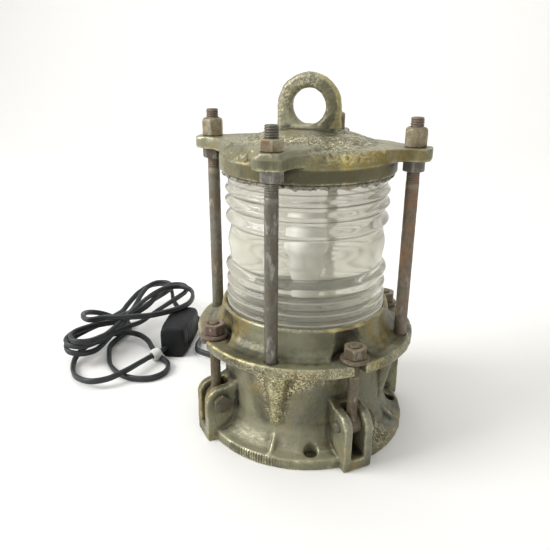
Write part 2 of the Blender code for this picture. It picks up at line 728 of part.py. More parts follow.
def bulb():
    """A screw cap in the lampholder and a pear-shaped bulb standing on it."""
    top, radius, centre = BULB_CAP_TOP, BULB_RADIUS, BULB_CENTRE
    base = [(0, top), (13.3 * MM, top), (13.3 * MM, 120 * MM), (9 * MM, 116 * MM),
            (4 * MM, 113 * MM), (0, 113 * MM)]
    add("bulb_cap", turned_mesh("bulb_cap", base, 20), BRIGHT_BRASS)
    globe = [(0, centre + radius)]
    for k in range(1, 8):
        a = math.radians(90 - 20 * k)
        globe.append((radius * math.cos(a), centre + radius * math.sin(a)))
    globe += [(13.6 * MM, 158 * MM), (12.6 * MM, top + GAP), (0, top + GAP)]
    add("bulb_glass", turned_mesh("bulb_glass", globe, 24), PEARL_GLASS)


def inner_leads():
    start = around(GLAND_ANGLE, 70.5 * MM, GLAND_HEIGHT).translation
    for name, side, look in (("brown", 1, BROWN_LEAD), ("blue", -1, BLUE_LEAD)):
        shift = Vector((0.4, 0.9, 0)) * 2.4 * MM * side
        route = [
            start + shift, start * 0.8 + shift + Vector((0, 0, 10 * MM)),
            Vector((-26 * MM, 14 * MM * side + 4 * MM, 60 * MM)),
            Vector((-6 * MM, 14 * MM * side, 70 * MM)),
            Vector((0, 13.5 * MM * side, HOLDER_BOTTOM - GAP)),
        ]
        mesh = tube_mesh("inner_lead_" + name, route, 1.4 * MM, 9 * MM)
        add("inner_lead_" + name, mesh, look)


def cable_gland():
    """The gland body through the wall, and the dome nut that grips the cord."""
    bore = CORD_RADIUS + 2 * GAP
    wall_out = 86.6 * MM
    hexagon = rod_mesh("gland_body", 13 * MM, wall_out, wall_out + 6 * MM, 6)
    hexagon.transform(gland_axis())
    body = add("gland_body", hexagon, BRIGHT_BRASS)
    stub = rod_mesh("gland_stub", 9.4 * MM, 71 * MM, wall_out + 3 * MM, 16)
    hole = rod_mesh("gland_bore", bore, 60 * MM, 0.12, 16)
    for mesh, operation in ((stub, "UNION"), (hole, "DIFFERENCE")):
        mesh.transform(gland_axis())
        combine(body, tool(mesh.name, mesh), operation)
    start = wall_out + 6 * MM + GAP
    dome = [(bore, GLAND_MOUTH), (6 * MM, GLAND_MOUTH), (10 * MM, GLAND_MOUTH - 3 * MM),
            (11 * MM, start + 3 * MM), (11 * MM, start), (bore, start)]
    nut = turned_mesh("gland_nut", dome, 16)
    nut.transform(gland_axis())
    add("gland_nut", nut, BRIGHT_BRASS)


def stadium_mesh(name, a, b, half, low, high):
    """An outline with round ends about two centres, extruded."""
    facing = math.degrees(math.atan2((b - a).y, (b - a).x))
    outline = arc((b.x, b.y), half, facing - 90, facing + 90, 10)
    outline += arc((a.x, a.y), half, facing + 90, facing + 270, 10)
    mesh = plate_mesh(name, outline, high - low)
    mesh.transform(Matrix.Translation((0, 0, low)))
    return mesh


def plug_place():
    return Matrix.Translation(PLUG_CENTRE) @ Matrix.Rotation(PLUG_TURN, 4, "Z")


def cord():
    """The tail from the gland to the hank, the coiled stretches and the lead into the plug."""
    out = around(GLAND_ANGLE, 1.0).translation.normalized()
    lift = Vector((0, 0, 1))
    mouth = out * (GLAND_MOUTH + GAP) + lift * GLAND_HEIGHT
    along = (HANK_B - HANK_A).normalized()
    side = Vector((along.y, -along.x, 0))
    meet = HANK_A.lerp(HANK_B, 0.78) + side * (HANK_HALF + 1.5 * GAP) + lift * 9 * MM
    floor = lift * FLOOR_CORD
    tail = [
        mouth, mouth + out * 11 * MM - lift * 1.5 * MM, mouth + out * 25 * MM - lift * 12 * MM,
        mouth + out * 37 * MM - lift * 28 * MM, Vector((-147, 59.5, 0.6)) * MM + floor,
        Vector((-160, 66, 0)) * MM + floor, Vector((-167, 84, 0)) * MM + floor,
        Vector((-174, 112, 0)) * MM + floor, Vector((-186, 141, 0)) * MM + floor,
        Vector((-208, 156, 0)) * MM + floor, Vector((-232, 152, 0)) * MM + floor,
        meet + side * 8 * MM, meet,
    ]
    add("cord_tail", tube_mesh("cord_tail", tail, CORD_RADIUS, 9 * MM), CORD_PVC)
    hank = stadium_mesh("cord_hank", HANK_A, HANK_B, HANK_HALF, COIL_BOTTOM, HANK_TOP)
    add("cord_hank", hank, CORD_PVC)
    loop = stadium_mesh("cord_loop", LOOP_A, LOOP_B, LOOP_HALF, COIL_BOTTOM, LOOP_TOP)
    add("cord_loop", loop, CORD_PVC)
    plug_face = plug_place() @ Vector((0, -PLUG_SIZE.y / 2 - 3 * GAP, LEAD_HEIGHT))
    plug_back = (plug_place().to_3x3() @ Vector((0, -1, 0))).normalized()
    loop_side = Vector((-0.205, 0.979, 0))
    leave = LOOP_B + loop_side * (LOOP_HALF + 2 * GAP) + Vector((15, 3.1, 6.5)) * MM
    lead = [leave, leave + loop_side * 4 * MM, plug_face + plug_back * 5 * MM, plug_face]
    add("cord_plug_lead", tube_mesh("cord_plug_lead", lead, CORD_RADIUS, 5 * MM), CORD_PVC)
    add("cord_tie", tie_mesh(lead[1], lead[2]), TIE_PLASTIC)


def tie_mesh(start, end):
    """A pale clip round the lead, midway between two points on it."""
    inner, outer, half = CORD_RADIUS + 0.9 * MM, 7 * MM, 2.5 * MM
    ring = [(inner, half), (outer - 1 * MM, half), (outer, 0), (outer - 1 * MM, -half),
            (inner, -half)]
    mesh = turned_mesh("cord_tie", ring, 16)
    turn = (end - start).to_track_quat("Z", "Y").to_matrix().to_4x4()
    mesh.transform(Matrix.Translation((start + end) / 2) @ turn)
    return mesh


def plug():
    size = PLUG_SIZE
    low = Vector((-size.x / 2, -size.y / 2, GAP))
    high = Vector((size.x / 2, size.y / 2, size.z))
    block = add("plug_body", box_mesh("plug_body", low, high), CORD_PVC)
    block.matrix_world = plug_place()
    rounding = block.modifiers.new("rounding", "BEVEL")
    rounding.width = 5 * MM
    rounding.segments = 3
    for name, x, lean in (("line", -6.9 * MM, 30), ("neutral", 6.9 * MM, -30)):
        blade = box_mesh("plug_pin_" + name, (-3.15 * MM, 0, -0.8 * MM), (3.15 * MM, 17 * MM, 0.8 * MM))
        blade.transform(Matrix.Rotation(math.radians(lean), 4, "Y"))
        blade.transform(Matrix.Translation((x, size.y / 2 + GAP, 18 * MM)))
        pin = add("plug_pin_" + name, blade, BRIGHT_BRASS)
        pin.matrix_world = plug_place()


base_body()
body_gasket()
upper_flange()
lens_gasket()
lens()
cap_gasket()
cap()
tie_rods()
swing_bolts()
lamp_bracket()
lampholder()
bulb()
inner_leads()
cable_gland()
cord()
plug()
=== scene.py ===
"""Ship lantern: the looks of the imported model, its cord, and the studio that it stands in.

Everything is in metres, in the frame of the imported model: +Z up, and the tie rods on the X and Y axes.
"""

import math

import bmesh
import bpy
import numpy as np
from mathutils import Matrix, Vector, noise


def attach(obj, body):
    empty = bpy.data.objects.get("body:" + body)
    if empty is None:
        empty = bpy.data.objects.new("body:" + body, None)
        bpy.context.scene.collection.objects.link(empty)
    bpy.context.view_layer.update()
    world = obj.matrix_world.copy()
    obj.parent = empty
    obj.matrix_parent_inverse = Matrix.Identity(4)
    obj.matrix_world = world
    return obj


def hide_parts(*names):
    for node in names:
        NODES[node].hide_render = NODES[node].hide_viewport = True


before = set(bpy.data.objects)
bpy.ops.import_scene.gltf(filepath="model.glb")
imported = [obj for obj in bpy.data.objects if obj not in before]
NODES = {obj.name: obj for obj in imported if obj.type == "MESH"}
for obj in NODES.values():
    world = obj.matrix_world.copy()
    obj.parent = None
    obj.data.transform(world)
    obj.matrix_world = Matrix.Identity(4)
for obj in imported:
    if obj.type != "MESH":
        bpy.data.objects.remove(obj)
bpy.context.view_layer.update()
MM = 0.001
ROOT = "lantern"
ROD_SITES = {"right": 0, "back": 90, "left": 180, "front": 270}
SWING_SITES = {"back_right": 45, "back_left": 135, "front_left": 225, "front_right": 315}
BOLT_CIRCLE = 98.9 * MM
PIN_HEIGHT = 42.5 * MM

CAMERA_SPOT = (0.1687, -0.5503, 0.3748)
CAMERA_LENS = 39.63
CAMERA_PITCH = math.radians(20.73)
CAMERA_HEADING = math.radians(110.11)
CAMERA_ROLL = math.radians(0.28)


# ---------------------------------------------------------------- camera

def put(item):
    bpy.context.scene.collection.objects.link(item)


def add_camera():
    data = bpy.data.cameras.new("camera")
    data.lens = CAMERA_LENS
    data.sensor_width = 36.0
    data.clip_start = 0.01
    camera = bpy.data.objects.new("camera", data)
    put(camera)
    across, down = math.cos(CAMERA_PITCH), math.sin(CAMERA_PITCH)
    way = Vector((across * math.cos(CAMERA_HEADING), across * math.sin(CAMERA_HEADING), -down))
    turn = way.to_track_quat("-Z", "Y").to_matrix().to_4x4() @ Matrix.Rotation(CAMERA_ROLL, 4, "Z")
    camera.matrix_world = Matrix.Translation(CAMERA_SPOT) @ turn
    bpy.context.scene.camera = camera


# ---------------------------------------------------------------- node materials

class Look:
    """A Principled material with small helpers for wiring its nodes."""

    def __init__(self, name, **sockets):
        self.material = bpy.data.materials.new(name)
        self.material.use_nodes = True
        self.tree = self.material.node_tree
        self.shader = self.tree.nodes["Principled BSDF"]
        for key, value in sockets.items():
            self.shader.inputs[key.replace("_", " ")].default_value = value
        self.place = self.node("ShaderNodeTexCoord").outputs["Object"]

    def node(self, kind, **settings):
        made = self.tree.nodes.new(kind)
        for key, value in settings.items():
            setattr(made, key, value)
        return made

    def link(self, source, target):
        self.tree.links.new(source, target)

    def noise(self, scale, detail, rough, stretch=None, distortion=0.0):
        made = self.node("ShaderNodeTexNoise")
        values = {"Scale": scale, "Detail": detail, "Roughness": rough, "Distortion": distortion}
        for key, value in values.items():
            made.inputs[key].default_value = value
        self.link(self.stretched(stretch), made.inputs["Vector"])
        return made.outputs["Fac"]

    def stretched(self, stretch):
        if stretch is None:
            return self.place
        mapping = self.node("ShaderNodeMapping")
        mapping.inputs["Scale"].default_value = stretch
        self.link(self.place, mapping.inputs["Vector"])
        return mapping.outputs["Vector"]

    def attribute(self, name):
        return self.node("ShaderNodeAttribute", attribute_name=name).outputs["Fac"]

    def ramp(self, source, low, high, start=0.0, end=1.0):
        """Maps source from low..high to start..end, clamped."""
        made = self.node("ShaderNodeMapRange")
        for key, value in zip(("From Min", "From Max", "To Min", "To Max"), (low, high, start, end)):
            made.inputs[key].default_value = value
        self.link(source, made.inputs["Value"])
        return made.outputs["Result"]

    def feed(self, value, socket):
        """Sets a socket to a number or a colour, or links it to another socket."""
        if isinstance(value, (int, float)):
            socket.default_value = value
        elif isinstance(value, tuple):
            socket.default_value = (*value, 1.0)
        else:
            self.link(value, socket)

    def math(self, operation, *values):
        made = self.node("ShaderNodeMath", operation=operation)
        for socket, value in zip(made.inputs, values):
            self.feed(value, socket)
        return made.outputs[0]

    def times(self, first, second):
        return self.math("MULTIPLY", first, second)

    def marked(self, name, share):
        """One of the values stored on the points, times a share."""
        return self.times(self.attribute(name), share)

    def mix(self, factor, first, second):
        made = self.node("ShaderNodeMix", data_type="RGBA")
        for key, value in zip(("Factor", "A", "B"), (factor, first, second)):
            self.feed(value, made.inputs[key])
        return made.outputs["Result"]

    def coats(self, under, *layers):
        """Colours laid one over another, each a (share, colour)."""
        for share, colour in layers:
            under = self.mix(share, under, colour)
        return under

    def blend(self, share, first, second):
        """A mix of two shader nodes."""
        made = self.node("ShaderNodeMixShader")
        for socket, value in zip(made.inputs, (share, first.outputs[0], second.outputs[0])):
            self.feed(value, socket)
        return made

    def colour(self, source):
        self.link(source, self.shader.inputs["Base Color"])

    def rough(self, source):
        self.link(source, self.shader.inputs["Roughness"])

    def metal(self, source):
        self.link(source, self.shader.inputs["Metallic"])

    def bump(self, *layers):
        """Chained bumps, each a (height, distance in metres, strength)."""
        normal = None
        for height, distance, strength in layers:
            made = self.node("ShaderNodeBump")
            made.inputs["Distance"].default_value = distance
            made.inputs["Strength"].default_value = strength
            self.link(height, made.inputs["Height"])
            if normal is not None:
                self.link(normal, made.inputs["Normal"])
            normal = made.outputs["Normal"]
        self.link(normal, self.shader.inputs["Normal"])


# ---------------------------------------------------------------- cord: route, settling and mesh

CORD_WIDE = 7.6 * MM
CORD_THIN = 5.2 * MM
PLUG_CENTRE = Vector((-200.0, 88.0, 0.0)) * MM
PLUG_SIZE = Vector((36.0, 72.0, 40.0)) * MM
PLUG_TURN = math.radians(14.5)
CORD_STEP = 2 * MM
FLOOR_GAP = 0.3 * MM
STIFFNESS = 14.0  # how sharply the cord can curve up or down, in 1/m
MOST_LEAN = math.radians(34)
LEAST_LEAN = 0.12  # the share of the lean that is left in the tightest bends
BEND_UPRIGHT = 0.045  # metres: how soon a bend stands the flat cord on edge
TOUCHING = 0.93  # strands rest on each other when nearer than this share of their widths
SAME_STRAND = 18 * MM


def lengths(points):
    """How far along the line each of its points lies."""
    return np.concatenate([[0], np.cumsum(np.linalg.norm(np.diff(points, axis=0), axis=1))])


def part_way(t, start, end, first, second):
    """The point between first, at the start, and second, at the end."""
    return (end - t) / (end - start) * first + (t - start) / (end - start) * second


def catmull(points, spacing):
    """A smooth line through the points, at an even spacing."""
    p = np.array(points, float)
    ends = np.vstack([2 * p[0] - p[1], p, 2 * p[-1] - p[-2]])
    fine = []
    for a, b, c, d in zip(ends, ends[1:], ends[2:], ends[3:]):
        chord = [max(np.linalg.norm(v) ** 0.5, 1e-6) for v in (b - a, c - b, d - c)]
        t0, t1, t2, t3 = np.cumsum([0.0, *chord])
        for t in np.linspace(t1, t2, 24, endpoint=False):
            a1, a2, a3 = part_way(t, t0, t1, a, b), part_way(t, t1, t2, b, c), part_way(t, t2, t3, c, d)
            b1, b2 = part_way(t, t0, t2, a1, a2), part_way(t, t1, t3, a2, a3)
            fine.append(part_way(t, t1, t2, b1, b2))
    fine.append(p[-1])
    fine = np.array(fine)
    along = lengths(fine)
    at = np.linspace(0, along[-1], round(along[-1] / spacing) + 1)
    return np.stack([np.interp(at, along, fine[:, k]) for k in range(3)], axis=1)


# The cord's plan, in millimetres, from the gland round the back of the plug, through the hank's
# turns and the loops in front of it, to the plug. Each stretch has a layer: it rests on the floor,
# on the plug, and on the stretches of lower layers. A point's third number is the least height
# of the cord's underside there, where the stretch beside it props it up.
HELD_START = [
    (-90.0, 37.3, 40.0), (-96.4, 39.9, 40.0), (-106.5, 44.1, 38.5), (-119.5, 49.5, 28.0),
    (-130.5, 54.1, 12.0),
]
ROUTE = [
    # along the plug and behind it
    (0, [(-146, 58), (-160, 63), (-168, 76), (-174, 96), (-180, 118), (-189, 136), (-204, 146),
         (-222, 149)]),
    # the outermost loop
    (3, [(-240, 156, 4), (-255, 171, 10), (-267, 189, 16), (-280, 205, 22), (-296, 212, 24),
         (-310, 202, 22), (-315, 178, 18), (-312, 140, 12), (-306, 102), (-304, 68), (-309, 38),
         (-312, 13), (-308, -6), (-296, -15), (-282, -10), (-276, 6)]),
    # first fold: up and back, side by side
    (4, [(-276, 32), (-280, 62), (-280, 95, 8), (-275, 130, 12), (-269, 160, 16), (-267, 182, 18),
         (-273, 197, 18), (-285, 203, 18), (-298, 198, 18), (-303, 184, 17), (-300, 158, 14),
         (-292, 125, 10), (-289, 90, 8), (-295, 58), (-304, 30), (-310, 8), (-305, -9), (-292, -15),
         (-279, -8), (-274, 10)]),
    # second fold
    (5, [(-272, 40), (-264, 72), (-253, 104, 14), (-243, 132, 20), (-236, 156, 24), (-234, 172, 25),
         (-239, 184, 25), (-250, 189, 25), (-262, 184, 25), (-267, 168, 23), (-264, 140, 18),
         (-262, 108, 12), (-272, 78), (-286, 50), (-298, 24), (-302, 4), (-296, -10), (-283, -15),
         (-271, -8), (-266, 8)]),
    # the loop over the plug
    (6, [(-264, 34), (-264, 62, 8), (-264, 90, 18), (-264, 114, 26), (-262, 138, 32), (-256, 158, 36),
         (-242, 170, 38), (-224, 166, 40), (-210, 148, 40), (-205, 122, 40), (-216, 94, 38),
         (-238, 70, 26), (-262, 52, 18), (-284, 46, 10)]),
    # the small loop on the left
    (2, [(-303, 36, 10), (-318, 44, 8), (-329, 62, 4), (-333, 84), (-327, 105), (-312, 116), (-295, 112),
         (-284, 96)]),
    # the round loop in front
    (1, [(-283, 72), (-280, 46), (-266, 22), (-248, 0), (-225, -14), (-203, -16), (-186, -8), (-178, 9),
         (-184, 28), (-201, 40), (-220, 53), (-238, 68), (-257, 75), (-276, 72), (-291, 58),
         (-299, 38)]),
    # the last loop, to the plug
    (2, [(-302, 18), (-298, -5), (-283, -28), (-264, -43), (-243, -48), (-226, -38), (-216, -14),
         (-211, 12)]),
]
HELD_END = [(-206.5, 37.0, 9.5), (-200.5, 52.5, 11.5)]


def evened(values, spread):
    """A moving average over spread values on each side."""
    window = np.ones(2 * spread + 1) / (2 * spread + 1)
    return np.convolve(np.pad(values, spread, mode="edge"), window, mode="valid")


def tilt_of(line):
    """How far the flat cord leans from standing on edge, in radians: it stands up in its bends."""
    step = np.linalg.norm(np.diff(line[:, :2], axis=0), axis=1).mean()
    way = np.gradient(line[:, :2], axis=0)
    turn = np.unwrap(np.arctan2(way[:, 1], way[:, 0]))
    bend = evened(np.abs(np.gradient(turn)) / step, 20)
    return MOST_LEAN * np.clip(1 - bend * BEND_UPRIGHT, LEAST_LEAN, 1)


def settle(line, tilt, layer, held_from, held_to):
    """Gives each point its height: on the floor, or on whatever of the cord or plug is under it."""
    wide, thin = CORD_WIDE / 2, CORD_THIN / 2
    half_up = np.hypot(wide * np.cos(tilt), thin * np.sin(tilt))
    half_side = np.hypot(wide * np.sin(tilt), thin * np.cos(tilt))
    along = lengths(line[:, :2])
    local = (line[:, :2] - np.array(PLUG_CENTRE.xy)) @ np.array(Matrix.Rotation(PLUG_TURN, 2))
    on_plug = np.all(np.abs(local) < np.array(PLUG_SIZE.xy) / 2 - 1 * MM, axis=1)
    floor = np.maximum(line[:, 2], FLOOR_GAP) + half_up
    floor = np.where(on_plug, np.maximum(floor, PLUG_SIZE.z + half_up), floor)
    free = np.zeros(len(line), bool)
    free[held_from:held_to] = True
    z = np.where(free, floor, line[:, 2])
    apart = np.hypot(*(line[:, None, :2] - line[None, :, :2]).transpose(2, 0, 1))
    gap = along[:, None] - along[None, :]
    above = (layer[:, None] > layer[None, :]) | ((layer[:, None] == layer[None, :]) & (gap > 0))
    above &= (apart < (half_side[:, None] + half_side[None, :]) * TOUCHING) & (np.abs(gap) > SAME_STRAND)

    def carried(raised):
        """The heights to which the raised points hold up the rest, since the cord can't drop at once."""
        return np.where(raised[None, :], z[None, :] - STIFFNESS * gap**2 / 2, 0).max(axis=1)

    for number in sorted(set(layer)):
        here = free & (layer == number)
        for _ in range(4):
            under = above & (layer <= number)[None, :]
            rest = np.where(under, z[None, :] + half_up[None, :] + half_up[:, None], 0)
            z = np.where(here, np.maximum(z, rest.max(axis=1)), z)
            z = np.where(here, np.maximum(z, carried(here)), z)
    for _ in range(2):
        z = np.where(free, np.maximum(z, carried(free)), z)
    return z


def cord_line():
    """The cord's centreline and its lean along it."""
    held_start, held_end = np.array(HELD_START) * MM, np.array(HELD_END) * MM
    plan = np.array([(*p, 0)[:3] for _, points in ROUTE for p in points]) * MM
    line = catmull(np.vstack([held_start, plan, held_end]), CORD_STEP)
    layer = np.zeros(len(line))
    for number, points in ROUTE:
        away = np.hypot(*(line[:, :2] - np.array(points[0][:2]) * MM).T)
        layer[int(np.argmin(away)):] = number
    begin = int(np.argmin(np.linalg.norm(line - held_start[-1], axis=1))) + 3
    finish = int(np.argmin(np.linalg.norm(line - held_end[0], axis=1))) - 3
    tilt = tilt_of(line)
    line[:, 2] = evened(settle(line, tilt, layer, begin, finish), 4)
    return line, tilt


def cord_profile(steps=20):
    """The outline of two round cores side by side, joined by a web: (across, through) points."""
    core = CORD_THIN / 2
    apart = CORD_WIDE / 2 - core
    outline = []
    for k in range(steps):
        a = math.tau * k / steps
        x, y = math.cos(a), math.sin(a)
        wide = apart * abs(x) + math.sqrt(max(core**2 - (apart * y) ** 2, 0))
        neck = 1 - 0.24 * math.exp(-(x / 0.22) ** 2)
        outline.append((x * wide, y * wide * neck))
    return outline


def cord_mesh(name, line, tilt):
    """A tube of the flat profile along the line, with its width leaning by the tilt."""
    way = np.gradient(line, axis=0)
    way /= np.linalg.norm(way, axis=1)[:, None]
    side = np.cross(way, (0.0, 0.0, 1.0))
    side /= np.linalg.norm(side, axis=1)[:, None]
    upward = np.cross(side, way)
    across = upward * np.cos(tilt)[:, None] + side * np.sin(tilt)[:, None]
    through = np.cross(way, across)
    return from_grid(name, np.stack([line + across * u + through * v for u, v in cord_profile()], axis=1))


def place(name, mesh, look, replaced, body=ROOT):
    """A piece made of a mesh that is already in the frame; replaced is a CAD node, or several."""
    piece = bpy.data.objects.new(name, mesh)
    put(piece)
    mesh.materials.clear()
    mesh.materials.append(look.material)
    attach(piece, body)
    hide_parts(*([replaced] if isinstance(replaced, str) else replaced))
    return piece


def cord_look():
    look = Look("cord_pvc", Roughness=0.42, Specular_IOR_Level=0.45)
    speck = look.noise(900, 3, 0.6)
    smear = look.noise(60, 4, 0.6)
    look.colour(look.mix(look.ramp(smear, 0.4, 0.7), (0.018, 0.020, 0.023), (0.035, 0.037, 0.041)))
    look.rough(look.ramp(smear, 0.3, 0.7, 0.36, 0.52))
    look.bump((speck, 0.0001, 0.25))
    return look


def add_cord():
    line, tilt = cord_line()
    strands = ("cord_tail", "cord_hank", "cord_loop", "cord_plug_lead")
    cord = place("cord_flex", cord_mesh("cord_flex", line, tilt), cord_look(), strands)
    add_plug()
    add_tie(Vector(HELD_END[0]) * MM, Vector((6.0, 15.5, 2.0)))


# ---------------------------------------------------------------- mesh tools

def from_grid(name, rings, closed_ends=True, loop=False):
    """A tube of quads through closed rings of points; loop joins the last ring to the first."""
    rings = np.asarray(rings, float)
    count, around = rings.shape[:2]
    index = np.arange(count * around).reshape(count, around)
    after = np.roll(index, -1, axis=1)
    rows = range(count) if loop else range(count - 1)
    faces = []
    for i in rows:
        j = (i + 1) % count
        faces += np.stack([index[i], after[i], after[j], index[j]], axis=1).tolist()
    if closed_ends and not loop:
        faces += [index[0][::-1].tolist(), index[-1].tolist()]
    mesh = bpy.data.meshes.new(name)
    mesh.from_pydata(rings.reshape(-1, 3).tolist(), [], faces)
    mesh.shade_smooth()
    return fixed(mesh)


def fixed(mesh):
    """The mesh with doubled points merged and its faces turned outwards."""
    shape = bmesh.new()
    shape.from_mesh(mesh)
    bmesh.ops.remove_doubles(shape, verts=shape.verts, dist=1e-6)
    bmesh.ops.recalc_face_normals(shape, faces=shape.faces)
    for face in shape.faces:
        face.smooth = True
    shape.to_mesh(mesh)
    shape.free()
    return mesh


def hoop(radius, z, angles):
    """A ring of points about Z; the radius may differ from angle to angle."""
    return np.stack([radius * np.cos(angles), radius * np.sin(angles), np.full(len(angles), z)], axis=1)


def all_round(steps):
    return np.linspace(0, math.tau, steps, endpoint=False)


def turned(name, profile, steps=96):
    """A (radius, height) outline turned about Z: an open one ends on the axis, a closed one is a ring."""
    angles = all_round(steps)
    rings = [hoop(max(r, 0), z, angles) for r, z in profile]
    return from_grid(name, rings, closed_ends=False, loop=profile[0][0] > 0)


def in_mm(points):
    return [(r * MM, z * MM) for r, z in points]


def softened(profile, radius, steps=4):
    """The outline with each corner rounded off, where its sides are long enough for that."""
    points = [Vector(p) for p in profile]
    closed = profile[0][0] > 0
    out = []
    for k, here in enumerate(points):
        if not closed and k in (0, len(points) - 1):
            out.append(tuple(here))
            continue
        before, after = points[k - 1], points[(k + 1) % len(points)]
        back, on = before - here, after - here
        reach = min(radius, back.length * 0.45, on.length * 0.45)
        a, b = here + back.normalized() * reach, here + on.normalized() * reach
        for n in range(steps + 1):
            t = n / steps
            out.append(tuple(a * (1 - t) ** 2 + here * 2 * t * (1 - t) + b * t**2))
    return out


def vectors(items, key):
    found = np.zeros(len(items) * 3, np.float32)
    items.foreach_get(key, found)
    return found.reshape(-1, 3).astype(float)


def read(mesh):
    return vectors(mesh.vertices, "co")


def write(mesh, points):
    mesh.vertices.foreach_set("co", points.astype(np.float32).ravel())
    mesh.update()


def polar(mesh):
    """Each point's azimuth in degrees, and its radius and height in millimetres."""
    x, y, z = (read(mesh) / MM).T
    return np.degrees(np.arctan2(y, x)), np.hypot(x, y), z


def bell(values, middle, reach, power=2):
    """1 at the middle, fading away about as far off as the reach."""
    return np.exp(-np.abs((values - middle) / reach) ** power)


def between(values, low, high):
    return (values > low) & (values < high)


class Ties:
    """Averages over a mesh's neighbouring points."""

    def __init__(self, mesh):
        pairs = np.zeros(len(mesh.edges) * 2, np.int32)
        mesh.edges.foreach_get("vertices", pairs)
        self.a, self.b = pairs.reshape(-1, 2).T
        self.count = len(mesh.vertices)
        self.uses = np.maximum(np.bincount(self.a, minlength=self.count)
                               + np.bincount(self.b, minlength=self.count), 1)

    def mean(self, values):
        flat = values.reshape(self.count, -1)
        total = np.stack([
            np.bincount(self.a, column[self.b], self.count) + np.bincount(self.b, column[self.a], self.count)
            for column in flat.T
        ], axis=1)
        return (total / self.uses[:, None]).reshape(values.shape)

    def smooth(self, values, times, share=0.5):
        for _ in range(times):
            values = values + share * (self.mean(values) - values)
        return values


def applied(item):
    """An object's mesh with its modifiers applied."""
    bpy.context.view_layer.update()
    return bpy.data.meshes.new_from_object(item.evaluated_get(bpy.context.evaluated_depsgraph_get()))


def fused(name, meshes, voxel, rounds):
    """The meshes as one skin of even quads, with its corners run together as in a casting."""
    parts = [bpy.data.objects.new(name + "_part", mesh) for mesh in meshes]
    for part in parts:
        put(part)
    whole = parts[0]
    if len(parts) > 1:
        with bpy.context.temp_override(active_object=whole, selected_editable_objects=parts):
            bpy.ops.object.join()
    remesh = whole.modifiers.new("skin", "REMESH")
    remesh.mode = "VOXEL"
    remesh.voxel_size = voxel
    made = applied(whole)
    bpy.data.objects.remove(whole, do_unlink=True)
    made.name = name
    made.shade_smooth()
    ties = Ties(made)
    write(made, ties.smooth(read(made), rounds))
    return made


def rough_up(mesh, layers, share=1.0):
    """Moves points along their normals by layered noise: (size, height and power), sizes in millimetres."""
    points = read(mesh)
    lift = np.zeros(len(points))
    for size, height, power in layers:
        scale = 1 / (size * MM)
        values = np.array([noise.noise(Vector(p) * scale) for p in points])
        lift += height * MM * np.sign(values) * np.abs(values) ** power
    write(mesh, points + vectors(mesh.vertices, "normal") * (lift * share)[:, None])
    return mesh


def mark(mesh, **marks):
    """Stores named values from 0 to 1 on the points, for the materials to read."""
    for name, values in marks.items():
        attribute = mesh.attributes.get(name) or mesh.attributes.new(name, "FLOAT", "POINT")
        attribute.data.foreach_set("value", np.clip(values, 0, 1).astype(np.float32))


def read_mark(mesh, name):
    values = np.zeros(len(mesh.vertices), np.float32)
    mesh.attributes[name].data.foreach_get("value", values)
    return values.astype(float)


def mark_edges(mesh, worn=0.35):
    """Marks where the surface bulges, which rubs bright, and where it is hollow, which holds dirt."""
    ties = Ties(mesh)
    points, out = read(mesh), vectors(mesh.vertices, "normal")
    length = np.linalg.norm(points[ties.a] - points[ties.b], axis=1).mean()
    bulge = ((points - ties.mean(points)) * out).sum(1) / length
    near = ties.smooth(bulge, 3, 0.8)
    wide = ties.smooth(bulge, 24, 0.9)
    mark(mesh, wear=(near - 0.022) / (worn * 0.20), grime=(-near - 0.012) / 0.1 + (-wide - 0.004) / 0.025)
    return mesh


def around(degrees, radius=BOLT_CIRCLE, height=0.0):
    """The placement at an azimuth: X points outwards, Y along the circle."""
    turn = Matrix.Rotation(math.radians(degrees), 4, "Z")
    return turn @ Matrix.Translation((radius, 0, height))


def joined(name, meshes):
    """Several closed meshes as one."""
    shape = bmesh.new()
    for mesh in meshes:
        shape.from_mesh(mesh)
    made = bpy.data.meshes.new(name)
    shape.to_mesh(made)
    shape.free()
    made.shade_smooth()
    return made


def thread(name, radius, low, high, pitch, depth, steps=40, top_chamfer=1.0 * MM):
    """A threaded length of rod: its skin follows the helix, which fades in at its lower end."""
    angles = all_round(steps)
    rings = []
    for z in np.linspace(low, high, max(8, round((high - low) / pitch * 9))):
        phase = (z / pitch - angles / math.tau) % 1
        tooth = np.clip(np.abs(2 * phase - 1) * 1.6 - 0.3, 0, 1)
        fade = min(1, (z - low) / (1.2 * pitch))
        r = np.minimum(radius - depth * (1 - tooth) * fade, radius - max(0, top_chamfer - (high - z)))
        rings.append(hoop(r, z, angles))
    return from_grid(name, rings)


def hex_piece(name, corner, low, high, bore=0.0, chamfers=(1.0, 1.0), dome=0.0, rows=26):
    """A hexagon with its corners turned off at each end, in metres, and a bore right through."""
    angles = all_round(96)
    flat = corner * math.cos(math.pi / 6)
    sides = flat / np.cos((angles + math.pi / 6) % (math.pi / 3) - math.pi / 6)
    sides = np.minimum(sides, corner * 0.985)
    slope = math.tan(math.radians(62))
    skin = []
    for z in low + (high - low) * (0.5 - 0.5 * np.cos(np.linspace(0, math.pi, rows))):
        limit = min(corner, flat * 0.95 + (z - low) * slope / chamfers[0])
        if dome:
            t = min(1, (high - z) / dome)
            limit = min(limit, corner * (0.57 + 0.43 * math.sqrt(1 - (1 - t) ** 2)))
        else:
            limit = min(limit, flat * 0.95 + (high - z) * slope / chamfers[1])
        skin.append(hoop((sides**-36 + limit**-36) ** (-1 / 36), z, angles))
    if bore:
        skin += [hoop(bore, high, angles), hoop(bore, low, angles)]
    return from_grid(name, skin, loop=bool(bore))


# ---------------------------------------------------------------- looks

